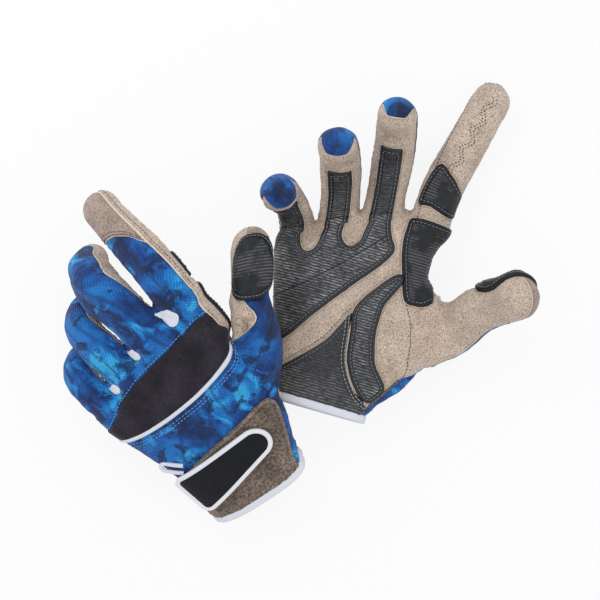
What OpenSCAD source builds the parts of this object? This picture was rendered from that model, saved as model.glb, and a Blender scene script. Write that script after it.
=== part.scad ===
// A pair of sailing gloves, filled as if worn, lying together on a table.
// The left glove rests palm down on its cuff and its three curled fingers.
// The right glove lies on its back with three fingers curled upward.
// Both are cut from one pattern: x runs to the thumb side, y to the finger
// tips and z out of the back of the hand, and the right one is its mirror image.

/* [Hand] */
// Breadth of the filled glove across the knuckles
palm_w = 94; // [88:1:100]
// Length from the cuff edge to the fork of the middle and index fingers
palm_len = 122; // [116:1:128]
// Thickness of the filled glove at the middle of the palm
palm_t = 28; // [26:1:31]
// Width of the cuff
cuff_w = 64; // [60:1:68]
// Thickness of the filled cuff
cuff_t = 26; // [24:1:29]

/* [Fingers] */
// Length of the index finger past its root
index_len = 90; // [82:1:94]
// Length of the middle finger past its root
middle_len = 88; // [84:1:96]
// Length of the ring finger past its root
ring_len = 80; // [76:1:90]
// Length of the little finger past its root
little_len = 62; // [58:1:72]
// Length of the thumb past its root
thumb_len = 84; // [76:1:88]
// Breadth of the thumb at its pad
thumb_w = 26; // [24:0.5:29]
// Thickness of a finger for each millimetre of its breadth
finger_round = 0.86; // [0.8:0.02:0.92]
// Breadth of a finger tip for each millimetre of breadth at its root
tip_taper = 0.88; // [0.8:0.02:0.94]
// Space left between two neighbouring finger roots
finger_space = 1.2; // [0.8:0.1:2]

/* [Cloth] */
// Thickness of the cloth with its lining
cloth_t = 1.6; // [1.2:0.1:2]
// Thickness of the patches sewn on the cloth
patch_t = 1.2; // [0.8:0.1:1.6]
// Clearance between one layer and the next, and at each finger root
gap = 0.3; // [0.25:0.05:0.4]
// Clearance between a sewn patch and the curved cloth under it
layer = 0.7; // [0.6:0.05:0.9]
// Width of the black strips along the finger pads
strip_w = 12.5; // [10:0.5:14]
// Width of the white piping under the knuckle panel
piping_w = 2.8; // [2:0.2:3.4]
// Height of the white piping above the cloth
piping_h = 2; // [1.4:0.1:2.6]

// How far the left thumb's edge of the palm is drawn in
left_tuck = 6; // [0:1:8]

/* [Wrist] */
// How far the back of the left cuff hangs below its palm
cuff_drop = 7; // [0:1:8]
// Length of the strap tab from its sewn end to its free end
tab_len = 62; // [56:1:64]
// Width of the strap tab at its sewn end
tab_w = 29; // [26:1:32]
// Width of the strap tab at its free end
tab_end_w = 19.5; // [17:0.5:24]
// Thickness of the strap tab
tab_t = 2; // [1.6:0.1:2.6]
// Width of the welt round the strap tab
welt_w = 2.8; // [2:0.2:3.6]
// Thickness of the pile patch and of the hook pad
pile_t = 0.8; // [0.6:0.1:1.2]
// Width of the hook pad under the free end of the tab
hook_w = 14; // [10:1:16]
// Width of the white binding round the cuff
binding_w = 3.8; // [3:0.2:5]
// Length of the pull loop
loop_reach = 15; // [12:1:18]
// Width of the pull loop
loop_w = 8; // [7:0.5:10]

/* [Hidden] */

// ---- small helpers -------------------------------------------------------
function mix(a, b, t) = a + (b - a) * t;
function clip(t) = max(0, min(1, t));
function ease(t) = clip(t) * clip(t) * (3 - 2 * clip(t));
function unit(v) = v / norm(v);
function power(v, e) = sign(v) * pow(abs(v), e);
function reversed(list) = [for (i = [len(list) - 1:-1:0]) list[i]];
function total(list) = [for (p = list) 1] * list;
function steps(n) = [for (i = [0:n]) i / n];

// A closed sheet between two grids of points, the outer one first.
module slab(outer, inner) {
  n = len(outer);
  m = len(outer[0]);
  a = function(i, j) i * m + j;
  b = function(i, j) (n + i) * m + j;
  polyhedron(
    concat([for (row = outer) each row], [for (row = inner) each row]),
    concat(
      [for (i = [0:n - 2]) for (j = [0:m - 2]) each [
        [a(i, j), a(i + 1, j + 1), a(i, j + 1)],
        [a(i, j), a(i + 1, j), a(i + 1, j + 1)],
        [b(i, j), b(i, j + 1), b(i + 1, j + 1)],
        [b(i, j), b(i + 1, j + 1), b(i + 1, j)]]],
      [for (j = [0:m - 2]) each [
        [a(0, j), a(0, j + 1), b(0, j + 1)],
        [a(0, j), b(0, j + 1), b(0, j)],
        [a(n - 1, j), b(n - 1, j + 1), a(n - 1, j + 1)],
        [a(n - 1, j), b(n - 1, j), b(n - 1, j + 1)]]],
      [for (i = [0:n - 2]) each [
        [a(i, 0), b(i + 1, 0), a(i + 1, 0)],
        [a(i, 0), b(i, 0), b(i + 1, 0)],
        [a(i, m - 1), a(i + 1, m - 1), b(i + 1, m - 1)],
        [a(i, m - 1), b(i + 1, m - 1), b(i, m - 1)]]]));
}

// A closed loop of bar: each section lists the same number of corners.
module hoop(sections) {
  n = len(sections);
  m = len(sections[0]);
  at = function(i, j) (i % n) * m + j % m;
  polyhedron(
    [for (section = sections) each section],
    [for (i = [0:n - 1]) for (j = [0:m - 1]) each [
      [at(i, j), at(i + 1, j + 1), at(i + 1, j)],
      [at(i, j), at(i, j + 1), at(i + 1, j + 1)]]]);
}

// ---- shape of the hand ---------------------------------------------------
// Corners of the finger roots, from the little finger's outer edge to the
// index finger's outer edge.
knuckles = [for (c = [[-0.49, 0.75], [-0.28, 0.83], [-0.03, 0.925], [0.255, 1], [0.535, 0.99]])
  [c.x * palm_w, c.y * palm_len]];
// The thumb's root runs along the thumb edge between these two heights.
thumb_lo = 0.3 * palm_len;
thumb_hi = 0.63 * palm_len;
// Angle of the hand's section that stays open for the thumb.
thumb_open = 30;
// Roundness of the hand's section: 1 is an ellipse, less is fuller.
fullness = 0.7;
little_edge = -knuckles[0].x;
index_edge = knuckles[4].x;
thumb_edge = 0.575 * palm_w;
// Thickness of the hand where the fingers start.
root_t = finger_round * (knuckles[4].x - knuckles[3].x) + 1.6;

// How far the thumb's edge is drawn in and the back of the cuff hangs down; the left glove sets
// its own values.
$tuck = 0;
$drop = 0;
function ulnar_x(y) = -lookup(y / palm_len, [
  [0, cuff_w / 2], [0.16, cuff_w / 2],
  [0.33, mix(cuff_w / 2, little_edge, 0.15)], [0.5, mix(cuff_w / 2, little_edge, 0.55)],
  [0.66, mix(cuff_w / 2, little_edge, 0.93)], [0.75, little_edge]]);
function radial_x(y) = lookup(y / palm_len, [
  [0, cuff_w / 2], [0.08, mix(cuff_w / 2, thumb_edge, 0.22)],
  [0.18, mix(cuff_w / 2, thumb_edge, 0.6)], [0.3, thumb_edge - 0.5],
  [0.63, mix(thumb_edge, index_edge, 0.5)], [0.82, index_edge], [0.99, index_edge]])
  - $tuck * lookup(y / palm_len, [[0, 0], [0.08, 0.22], [0.18, 0.6], [0.3, 1], [0.63, 1], [0.75, 0]]);
function hand_t(y) = lookup(y / palm_len, [
  [0, cuff_t], [0.2, mix(cuff_t, palm_t, 0.5)], [0.45, palm_t], [0.8, mix(palm_t, root_t, 0.4)],
  [0.95, root_t]]);
function root_y(x) = lookup(x, knuckles);
// The section ends at this angle, short of the half turn beside the thumb.
function end_angle(y) = 180 - thumb_open * ease((y - thumb_lo) / 3) * ease((thumb_hi - y) / 3);
// The cloth dips between two finger roots.
fork_reach = 11;
function fork_dip(x, y) = 1 - 0.5 * ease((y - root_y(x)) / 16 + 1)
  * max([for (k = [1:3]) ease(1 - abs(x - knuckles[k].x) / fork_reach)]);

// A point of the hand's outer face at height y: the angle runs from the
// little finger's edge at 0 over the back to 180, and over the palm to -180.
function half_w(angle, y) = let (a = (radial_x(y) - ulnar_x(y)) / 2)
  cos(angle) >= 0 ? a : a / pow(-cos(end_angle(y)), fullness);
function hand_x(angle, y) =
  (radial_x(y) + ulnar_x(y)) / 2 - half_w(angle, y) * power(cos(angle), fullness);
function hand_pt(angle, y) = let (x = hand_x(angle, y))
  [x, y, hand_t(y) / 2 * power(sin(angle), fullness) * fork_dip(x, y)];
function hand_normal(angle, y) = unit(cross(
  hand_pt(angle + 1, y) - hand_pt(angle - 1, y), hand_pt(angle, y + 1) - hand_pt(angle, y - 1)));
function lifted(angle, y, lift) = hand_pt(angle, y) + hand_normal(angle, y) * lift;
// Angle of the point of the back that lies over [x, y].
function angle_at(x, y) =
  let (mid = (radial_x(y) + ulnar_x(y)) / 2, angle = x < mid ? 0 : 180)
  acos(max(-1, min(1, power((mid - x) / half_w(angle, y), 1 / fullness))));
// face is 1 for the back and -1 for the palm.
function over(p, face, lift) = lifted(face * angle_at(p.x, p.y), p.y, lift);

// Columns of the hand's panels: each finger root takes four.
column_x = [for (k = [0:3]) for (t = [0:3]) mix(knuckles[k].x, knuckles[k + 1].x, t / 4),
  knuckles[4].x];
columns = [for (x = column_x) let (y = root_y(x))
  x == column_x[0] ? 0 : x == knuckles[4].x ? 180 : angle_at(x, y)];
function column_angle(a, y) = a < 90 ? a : 90 + (a - 90) * (end_angle(y) - 90) / 90;

// Rows of a panel run from y = from(x) to y = to(x), x taken at the far end.
module hand_panel(face, rows, from, to) {
  grid = [for (t = rows) [for (j = [0:len(columns) - 1])
    let (y = mix(from(column_x[j]), to(column_x[j]), t)) [column_angle(columns[j], y), y]]];
  ordered = face > 0 ? grid : [for (row = grid) reversed(row)];
  slab(
    [for (row = ordered) [for (c = row) lifted(face * c[0], c[1], 0)]],
    [for (row = ordered) [for (c = row) lifted(face * c[0], c[1], -cloth_t)]]);
}

// Edge of the cuff: lower on the back, and lowest on its thumb side.
function cuff_y(angle) = -$drop * sqrt(max(0, sin(angle))) * (0.75 - 0.25 * cos(angle));
function cuff_back(x) = cuff_y(lookup(x, [for (j = [0:len(columns) - 1]) [column_x[j], columns[j]]]));

// A patch over a grid of [x, y] points, x rising along each row.
module patch(face, grid, low, high) {
  ordered = face > 0 ? grid : [for (row = grid) reversed(row)];
  slab(
    [for (row = ordered) [for (p = row) over(p, face, high)]],
    [for (row = ordered) [for (p = row) over(p, face, low)]]);
}

// ---- the panels of the back ------------------------------------------------
// Seam between the two cloth panels of the back, hidden by the knuckle panel.
mid_seam = function(x) root_y(x) - 0.19 * palm_len;
panel_rows = [0, 0.13, 0.26, 0.375, 0.42, 0.55, 0.68, 0.8, 0.87, 1];
module back_panel()
  color([0.06, 0.29, 0.6]) hand_panel(1, panel_rows, function(x) cuff_back(x), mid_seam);
module finger_back_panel()
  color([0.08, 0.35, 0.68])
    hand_panel(1, steps(4), mid_seam, function(x) root_y(x) - gap * 0.7);

// Knuckle panel: its lower edge sags toward the cuff, its upper edge follows
// the knuckles, and its thumb end is rounded.
function knuckle_low(x) = 0.56 * palm_len + 11 * pow(abs(x - 2) / 44, 2);
function knuckle_high(x) = root_y(x) - lookup(x, [[-little_edge, 5], [0, 13], [index_edge, 16]]);
knuckle_end = 0.9 * index_edge;
function knuckle_grid(n) = [for (v = steps(n)) [for (u = steps(16))
  let (x = mix(2 - little_edge, knuckle_end + 3 * sin(180 * v), u))
  [x, mix(knuckle_low(x), knuckle_high(x), v)]]];
module knuckle_panel()
  color([0.17, 0.16, 0.21]) patch(1, knuckle_grid(4), layer, layer + patch_t);

// White piping under the knuckle panel and up its thumb end.
module knuckle_piping() {
  edge = knuckle_grid(4);
  route = concat(edge[0], [for (i = [1:2]) edge[i][16]]);
  n = len(route) - 1;
  grid = [for (side = [0, 0.5, 1]) [for (i = [0:n])
    let (along = unit(route[min(n, i + 1)] - route[max(0, i - 1)]))
    route[i] + [along.y, -along.x] * (gap + piping_w * side)]];
  color("white") patch(1, reversed(grid), layer, layer + piping_h);
}

// White gussets in the forks between the fingers.
module fourchettes() {
  color("white")
    for (k = [1:3])
      let (fork = knuckles[k], reach = 0.053 * palm_len)
        patch(1, [for (v = steps(3)) [for (u = [-1:0.5:1])
          let (x = fork.x + u * (1 + 3.4 * v)) [x, root_y(x) - gap / 2 - reach * (1 - v)]]],
          layer * 1.4, layer * 1.4 + patch_t);
}

// ---- the panels of the palm ------------------------------------------------
module palm_panel()
  color([0.72, 0.64, 0.58])
    hand_panel(-1, [0, 0.1, 0.2, 0.285, 0.325, 0.42, 0.53, 0.615, 0.66, 0.76, 0.88, 1],
      function(x) 0, function(x) root_y(x) - gap * 0.7);

// Black palm patch: notched at the forks, cut off aslant toward the heel.
function palm_patch_high(x) = root_y(x) - 2
  - 9 * max([for (k = [1:2]) ease(1 - abs(x - knuckles[k].x) / 6)])
  - 14 * ease((x - 0.13 * palm_w) / 8);
function palm_patch_low(x) = palm_len * lookup(x / palm_w,
  [[-0.4, 0.2], [-0.23, 0.24], [0, 0.41], [0.15, 0.55], [0.18, 0.58], [0.235, 0.7]]);
module palm_patch() {
  left = function(v) ulnar_x(palm_len * mix(0.2, 0.76, v)) + 4;
  right = 0.23 * palm_w;
  color([0.2, 0.2, 0.21])
    patch(-1, [for (v = steps(7)) [for (u = steps(15))
      let (x = mix(left(v), right, u))
      [x, mix(palm_patch_low(x), palm_patch_high(x), v)]]], layer, layer + patch_t);
}

// Black heel patch, the curved band beside it and the patch at the web of the
// thumb: each is a grid between a left and a right edge that depend on y.
heel_left = function(y) palm_w * lookup(y / palm_len,
  [[0.03, -0.3], [0.11, -0.3], [0.15, -0.2], [0.27, -0.02], [0.43, 0.11]]);
band_left = function(y) palm_w * lookup(y / palm_len,
  [[0.03, 0.3], [0.1, 0.28], [0.16, 0.2], [0.24, 0.15], [0.38, 0.13], [0.45, 0.14],
   [0.58, 0.22], [0.68, 0.31]]);
band_right = function(y) palm_w * lookup(y / palm_len,
  [[0.1, 0.36], [0.18, 0.395], [0.28, 0.355], [0.4, 0.32], [0.52, 0.34], [0.62, 0.38],
   [0.68, 0.335]]);
web_left = function(y) palm_w * lookup(y / palm_len, [[0.6, 0.41], [0.72, 0.35], [0.97, 0.28]]);
web_right = function(y) palm_w * lookup(y / palm_len, [[0.6, 0.54], [0.72, 0.5], [0.97, 0.49]]);
module side_patch(low, high, left, right, n, m)
  patch(-1, [for (v = steps(n)) let (y = palm_len * mix(low, high, v))
    [for (u = steps(m)) [mix(left(y), right(y), u), y]]], layer * 2, layer * 2 + patch_t);
module palm_reinforcements()
  color([0.16, 0.16, 0.17]) {
    side_patch(0.03, 0.42, heel_left, function(y) band_left(y) - gap, 7, 6);
    side_patch(0.1, 0.675, band_left, band_right, 10, 3);
    side_patch(0.65, 0.96, web_left, web_right, 6, 4);
  }

// ---- the wrist -------------------------------------------------------------
// Strap tab: it tapers to a rounded free end and climbs a little toward it.
tab_foot = [-cuff_w / 2 + 1.6, 0.162 * palm_len];
tab_slope = 7.5;
function tab_point(u, side, inset) =
  let (
    along = mix(inset, tab_len - inset, u),
    corner = tab_end_w / 3,
    past = clip((along - tab_len + inset + corner) / corner),
    half = mix(tab_w, tab_end_w, along / tab_len) / 2 - inset - corner * (1 - sqrt(1 - past * past)))
  tab_foot + [along * cos(tab_slope) - side * half * sin(tab_slope),
    along * sin(tab_slope) + side * half * cos(tab_slope)];
tab_rows = [0, 0.12, 0.25, 0.4, 0.55, 0.7, 0.82, 0.9, 0.95, 0.985, 1];
tab_columns = [-1, -0.5, 0, 0.5, 1];
function tab_grid(inset) = [for (side = tab_columns) [for (u = tab_rows) tab_point(u, side, inset)]];
function rim(grid) = concat(
  grid[0],
  [for (i = [1:len(grid) - 1]) grid[i][len(grid[0]) - 1]],
  [for (j = [len(grid[0]) - 2:-1:0]) grid[len(grid) - 1][j]],
  [for (i = [len(grid) - 2:-1:1]) grid[i][0]]);
loop_top = layer + pile_t;
hook_low = loop_top + gap;
hook_high = hook_low + pile_t;
tab_low = hook_high + 0.1;
tab_high = tab_low + tab_t;

module strap_tab() color([0.11, 0.11, 0.13]) patch(1, tab_grid(welt_w), tab_low, tab_high);
module strap_welt() {
  outside = rim(tab_grid(0));
  inside = rim(tab_grid(welt_w));
  color("white") hoop([for (i = [0:len(outside) - 1]) [
    over(outside[i], 1, tab_low), over(outside[i], 1, tab_high + 0.3),
    over(inside[i], 1, tab_high + 0.3), over(inside[i], 1, tab_low)]]);
}
module strap_hook_pad()
  color([0.2, 0.2, 0.2])
    patch(1, [for (side = [-1, 0, 1]) [for (along = steps(8))
      tab_foot + [mix(tab_len / 3, tab_len - welt_w * 2, along) * cos(tab_slope)
        - side * hook_w / 2 * sin(tab_slope),
        mix(tab_len / 3, tab_len - welt_w * 2, along) * sin(tab_slope)
        + side * hook_w / 2 * cos(tab_slope)]]], hook_low, hook_high);

// Pile patch that the hooks grip, from under the tab to the thumb side.
module wrist_loop_patch()
  color([0.51, 0.45, 0.38])
    patch(1, [for (v = steps(6)) [for (u = steps(8)) let (
      low = cuff_y(angle_at(mix(-0.36, 0.36, u) * cuff_w, 0)) + 0.03 * palm_len)
      [mix(-0.36 * cuff_w + 20 * ease(v * 1.2 - 0.5), mix(0.34, 0.52, v) * cuff_w + 2, u),
       mix(low, 0.36 * palm_len, v)]]], layer, loop_top);

// Binding folded over the cuff edge.
binding_angles = concat(columns, [for (j = [len(columns) - 2:-1:1]) -columns[j]]);
module cuff_binding()
  color("white") hoop([for (angle = binding_angles) let (y = cuff_y(angle) - gap / 2) [
    lifted(angle, y, patch_t), lifted(angle, y, -cloth_t),
    lifted(angle, y, -cloth_t) - [0, binding_w, 0], lifted(angle, y, patch_t) - [0, binding_w, 0]]]);

// Flat loop of webbing at the little finger's edge of the wrist: it lies
// aslant on the back, from the strap tab to just past the edge.
loop_t = 1.2;
loop_turn = 35;
loop_tilt = 20;
loop_stem = loop_reach - loop_w / 2;
loop_foot = [-0.36 * cuff_w, 0.302 * palm_len];
loop_slit = [loop_reach * 0.4, loop_w / 2];
module pull_loop()
  color("white")
    translate(over(loop_foot, 1, layer))
      rotate([0, -loop_tilt, 0]) rotate([0, 0, -loop_turn])
        linear_extrude(loop_t)
          difference() {
            union() {
              translate([-loop_stem, 0]) circle(d = loop_w, $fn = 32);
              translate([-loop_stem, -loop_w / 2]) square([loop_stem, loop_w]);
            }
            translate([-loop_stem, 0]) circle(d = loop_slit.y, $fn = 24);
            translate([-loop_stem, -loop_slit.y / 2]) square(loop_slit);
          }

// ---- fingers ---------------------------------------------------------------
// A digit is [root middle, heading, root half breadth, tip half breadth,
// root half thickness, tip half thickness, length, slant of its root, pose].
// Headings turn from the y axis to the thumb side. A pose is [spread, twist,
// bend at the root, bend at the middle joint, bend at the end joint].
function digit(k, heading, length, pose) =
  let (
    a = knuckles[k], b = knuckles[k + 1], root = b - a,
    lean = heading + atan2(root.y, root.x),
    half = norm(root) * cos(lean) / 2 - finger_space / 2)
  [(a + b) / 2, heading, half, half * tip_taper, half * finger_round,
   half * tip_taper * finger_round, length, tan(lean), pose];
function thumb(pose) =
  let (
    low = [radial_x(thumb_lo), thumb_lo], high = [radial_x(thumb_hi), thumb_hi],
    heading = 72, root = low - high,
    lean = heading + atan2(root.y, root.x))
  [(low + high) / 2, heading, norm(root) * cos(lean) / 2 - finger_space, thumb_w / 2,
   hand_t(thumb_hi) / 2 * pow(sin(thumb_open), fullness), thumb_w / 2 * 0.92,
   thumb_len, tan(lean), pose];

function middle_joint(d) = 0.42 * d[6];
function end_joint(d) = 0.7 * d[6];
bend_len = 24;
function bent(d, s) =
  d[8][2] * ease((s - 1) / bend_len)
  + d[8][3] * ease((s - middle_joint(d)) / bend_len + 0.5)
  + d[8][4] * ease((s - end_joint(d)) / bend_len + 0.5);
function turned(d, s) = d[1] + d[8][0] * ease((s - 1) / (bend_len + 6));
function twisted(d, s) = d[8][1] * ease(s / (bend_len + 14));
function ahead(d, s) = let (h = turned(d, s), b = bent(d, s))
  [sin(h) * cos(b), cos(h) * cos(b), -sin(b)];
function middle_at(d, s) = let (n = max(1, ceil(s / 3)), ds = s / n)
  [d[0].x, d[0].y, 0] + total([for (i = [0:n - 1]) ds * ahead(d, (i + 0.5) * ds)]);

// Share of a digit's full section at t: it closes in a dome at the tip.
function dome(d, t) = let (start = 1 - d[3] / d[6])
  t <= start ? 1 : sqrt(max(0.0008, 1 - pow((t - start) / (1 - start), 2)));
// Share of the way from the root section to the tip section.
function settled(d, t) = d[1] > 45 ? ease(t / 0.5) : clip(t);
// A point of the digit at t of its length. The angle is 0 on the thumb side,
// 90 on the back and 270 on the pad.
function digit_pt(d, t, angle, lift) =
  let (
    s = t * (d[6] + min(0, lift)),
    across = (mix(d[2], d[3], settled(d, t)) + lift) * dome(d, t) * cos(angle),
    up = (mix(d[4], d[5], settled(d, t)) + lift) * dome(d, t) * sin(angle),
    h = turned(d, s), b = bent(d, s), w = twisted(d, s),
    side = [cos(h), -sin(h), 0], back = [sin(h) * sin(b), cos(h) * sin(b), cos(b)])
  middle_at(d, s)
  + (side * cos(w) + back * sin(w)) * across
  + (back * cos(w) - side * sin(w)) * up
  + ahead(d, s) * (gap * 0.7 + d[7] * across * clip(1 - s / 30));

function digit_rows(d, from, to) = let (start = 1 - d[3] / d[6])
  [for (t = concat([for (i = [0:9]) start * i / 9],
    [for (i = [1:5]) start + (1 - start) * sin(90 * i / 5)])) if (t >= from && t <= to) t];
// A shell of a digit: angles from its palm side seam to its back seam.
module digit_shell(d, from, to, angles)
  slab(
    [for (t = digit_rows(d, from, to)) [for (a = angles) digit_pt(d, t, a, 0)]],
    [for (t = digit_rows(d, from, to)) [for (a = angles) digit_pt(d, t, a, -cloth_t)]]);
module digit_patch(d, from, to, low_angle, high_angle, n)
  slab(
    [for (t = steps(n)) [for (u = steps(4))
      digit_pt(d, mix(from, to, t), mix(high_angle, low_angle, u), layer + patch_t)]],
    [for (t = steps(n)) [for (u = steps(4))
      digit_pt(d, mix(from, to, t), mix(high_angle, low_angle, u), layer)]]);
back_angles = [for (a = [180:-22.5:0]) a];
palm_angles = [for (a = [360:-22.5:180]) a];

// ---- poses of the two gloves ------------------------------------------------
// Order: thumb, index, middle, ring, little.
left_pose = [[-48, -75, 24, 4, 4], [-22, 0, 43, 13, 9], [-46, 0, 42, 33, 22], [-34, 0, 51, 38, 28],
  [-12, 0, 65, 34, 18]];
right_pose = [[-20, -8, 27, 13, 10], [11, 0, 0, 0, -2], [-5, 0, 17, 33, 29], [-7, 0, 30, 33, 31],
  [-48, -15, 54, 30, 30]];
headings = [3, -2, -7, -14];
lengths = [index_len, middle_len, ring_len, little_len];
function digit_of(pose, k) = k == 0 ? thumb(pose[0]) : digit(4 - k, headings[k - 1], lengths[k - 1], pose[k]);

blue = [0.06, 0.33, 0.66];
suede = [0.72, 0.64, 0.58];
black = [0.18, 0.18, 0.19];

module digit_back(pose, k, from = 0, to = 1)
  color(blue) digit_shell(digit_of(pose, k), from, to, back_angles);
module digit_palm(pose, k) color(suede) digit_shell(digit_of(pose, k), 0, 1, palm_angles);
module digit_strip(pose, k, to)
  let (d = digit_of(pose, k), half = asin(strip_w / 2 / d[2]))
    color(black) digit_patch(d, 0.02, to, 270 - half, 270 + half, 9);
// The index finger's taupe cap starts at this share of its length.
cap_start = 0.7;
module index_back(pose) digit_back(pose, 1, 0, cap_start);
module index_tip_cap(pose)
  color(suede) let (d = digit_of(pose, 1))
    digit_shell(d, max([for (t = digit_rows(d, 0, cap_start)) t]), 1, back_angles);
module index_patch(pose) color(black) digit_patch(digit_of(pose, 1), 0.07, 0.32, 215, 345, 5);
module thumb_patch(pose) color(black) digit_patch(digit_of(pose, 0), 0.46, 0.93, 150, 240, 8);

// ---- the two gloves in place --------------------------------------------------
// The left glove is pitched up from its cuff and rolled, thumb side up.
left_place = [-26.9, -104, 20.5];
left_turn = 41.4;
left_pitch = 20;
left_roll = 18;
right_place = [6.1, -58, 21.1];
right_turn = -16;
right_pitch = -3;
right_roll = -4;
module left() {
  $tuck = left_tuck;
  $drop = cuff_drop;
  translate(left_place) rotate([0, 0, left_turn]) rotate([left_pitch, 0, 0])
    rotate([0, -left_roll, 0]) children();
}
module right()
  translate(right_place) rotate([0, 0, right_turn]) rotate([right_pitch, 0, 0])
    rotate([0, right_roll, 0]) mirror([0, 0, 1]) children();

left() back_panel();  // left_back_panel
left() finger_back_panel();  // left_finger_back_panel
left() knuckle_panel();  // left_knuckle_panel
left() knuckle_piping();  // left_knuckle_piping
left() palm_panel();  // left_palm_panel
left() palm_patch();  // left_palm_patch
left() palm_reinforcements();  // left_palm_reinforcements
left() fourchettes();  // left_fourchettes
left() wrist_loop_patch();  // left_wrist_loop_patch
left() cuff_binding();  // left_cuff_binding
left() pull_loop();  // left_pull_loop
left() strap_tab();  // left_strap_tab
left() strap_welt();  // left_strap_welt
left() strap_hook_pad();  // left_strap_hook_pad
left() digit_back(left_pose, 0);  // left_thumb_back
left() digit_palm(left_pose, 0);  // left_thumb_palm
left() thumb_patch(left_pose);  // left_thumb_patch
left() index_back(left_pose);  // left_index_back
left() index_tip_cap(left_pose);  // left_index_tip_cap
left() digit_palm(left_pose, 1);  // left_index_palm
left() index_patch(left_pose);  // left_index_patch
left() digit_back(left_pose, 2);  // left_middle_back
left() digit_palm(left_pose, 2);  // left_middle_palm
left() digit_strip(left_pose, 2, 0.46);  // left_middle_strip
left() digit_back(left_pose, 3);  // left_ring_back
left() digit_palm(left_pose, 3);  // left_ring_palm
left() digit_strip(left_pose, 3, 0.43);  // left_ring_strip
left() digit_back(left_pose, 4);  // left_little_back
left() digit_palm(left_pose, 4);  // left_little_palm
left() digit_strip(left_pose, 4, 0.36);  // left_little_strip

right() back_panel();  // right_back_panel
right() finger_back_panel();  // right_finger_back_panel
right() knuckle_panel();  // right_knuckle_panel
right() knuckle_piping();  // right_knuckle_piping
right() palm_panel();  // right_palm_panel
right() palm_patch();  // right_palm_patch
right() palm_reinforcements();  // right_palm_reinforcements
right() fourchettes();  // right_fourchettes
right() wrist_loop_patch();  // right_wrist_loop_patch
right() cuff_binding();  // right_cuff_binding
right() pull_loop();  // right_pull_loop
right() strap_tab();  // right_strap_tab
right() strap_welt();  // right_strap_welt
right() strap_hook_pad();  // right_strap_hook_pad
right() digit_back(right_pose, 0);  // right_thumb_back
right() digit_palm(right_pose, 0);  // right_thumb_palm
right() thumb_patch(right_pose);  // right_thumb_patch
right() index_back(right_pose);  // right_index_back
right() index_tip_cap(right_pose);  // right_index_tip_cap
right() digit_palm(right_pose, 1);  // right_index_palm
right() index_patch(right_pose);  // right_index_patch
right() digit_back(right_pose, 2);  // right_middle_back
right() digit_palm(right_pose, 2);  // right_middle_palm
right() digit_strip(right_pose, 2, 0.46);  // right_middle_strip
right() digit_back(right_pose, 3);  // right_ring_back
right() digit_palm(right_pose, 3);  // right_ring_palm
right() digit_strip(right_pose, 3, 0.43);  // right_ring_strip
right() digit_back(right_pose, 4);  // right_little_back
right() digit_palm(right_pose, 4);  // right_little_palm
right() digit_strip(right_pose, 4, 0.36);  // right_little_strip
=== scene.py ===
# %% [markdown]
# A pair of sailing gloves, filled as if hands were in them: the left one shows
# its back, the right one its palm. A glove is cut from flat panels, so this
# file works as a glove maker does: it draws one hand, marks the panels on it,
# cuts them out, gives every panel its cloth and its seams, and then bends the
# fingers of the left and of the right glove.
#
# This first cell loads the finished CAD model as a fixed frame. Everything
# made here is in metres at the end; the pieces on the hand, the trims and the
# tab move with one of the frame's bodies, and the pieces on the digits stay
# where they are made.

# %% Load the frame
import math

import bmesh
import bpy
import numpy as np
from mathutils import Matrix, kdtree


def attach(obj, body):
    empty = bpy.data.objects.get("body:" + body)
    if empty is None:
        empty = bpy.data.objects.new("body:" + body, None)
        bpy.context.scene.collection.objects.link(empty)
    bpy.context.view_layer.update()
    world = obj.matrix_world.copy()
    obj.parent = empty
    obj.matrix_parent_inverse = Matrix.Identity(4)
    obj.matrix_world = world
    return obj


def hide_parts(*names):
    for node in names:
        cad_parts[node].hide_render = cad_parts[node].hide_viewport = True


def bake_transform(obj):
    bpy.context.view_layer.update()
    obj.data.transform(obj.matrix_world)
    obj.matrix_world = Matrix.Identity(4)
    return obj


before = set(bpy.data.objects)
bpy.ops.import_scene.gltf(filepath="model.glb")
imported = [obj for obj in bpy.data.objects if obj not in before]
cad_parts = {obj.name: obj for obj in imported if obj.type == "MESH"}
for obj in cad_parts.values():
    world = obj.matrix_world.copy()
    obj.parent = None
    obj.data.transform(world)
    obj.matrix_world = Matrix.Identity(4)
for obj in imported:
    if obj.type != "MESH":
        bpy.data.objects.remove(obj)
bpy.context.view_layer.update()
MM = 0.001


def into_scene(name, data):
    """An object of a mesh, a lamp or a camera, put into the scene."""
    thing = bpy.data.objects.new(name, data)
    bpy.context.scene.collection.objects.link(thing)
    return thing


# %% [markdown]
# The gloves lie flat and are seen from straight above, through a long lens, so
# that the far edges of the gloves aren't stretched. A camera 2.4 m up with a
# narrow view does that.

# %% Camera
VIEW_WIDTH = 0.348
VIEW_CENTRE = (-0.0006, 0.002)
CAMERA_HEIGHT, GLOVE_HEIGHT = 2.4, 0.04
SENSOR_WIDTH = 36
camera_data = bpy.data.cameras.new("camera")
camera = into_scene("camera", camera_data)
camera.location = (*VIEW_CENTRE, CAMERA_HEIGHT)
camera_data.sensor_width = SENSOR_WIDTH
camera_data.lens = SENSOR_WIDTH * (CAMERA_HEIGHT - GLOVE_HEIGHT) / VIEW_WIDTH
bpy.context.scene.camera = camera
print("lens", round(camera_data.lens), "mm")

# %% [markdown]
# Product light is broad and soft, with one stronger side that models the
# folds. Round area lamps stand in for the soft boxes: a key from the upper
# left, a fill from the right and a low one from the cuffs' side.

# %% Lamps
def area_lamp(name, place, size, power):
    """A round lamp that faces the gloves."""
    data = bpy.data.lights.new(name, "AREA")
    data.shape, data.size, data.energy = "DISK", size, power
    lamp = into_scene(name, data)
    lamp.location = place
    x, y, z = -np.array(place)
    lamp.rotation_euler = (math.atan2(math.hypot(x, y), -z), 0, math.atan2(x, -y))


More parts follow.
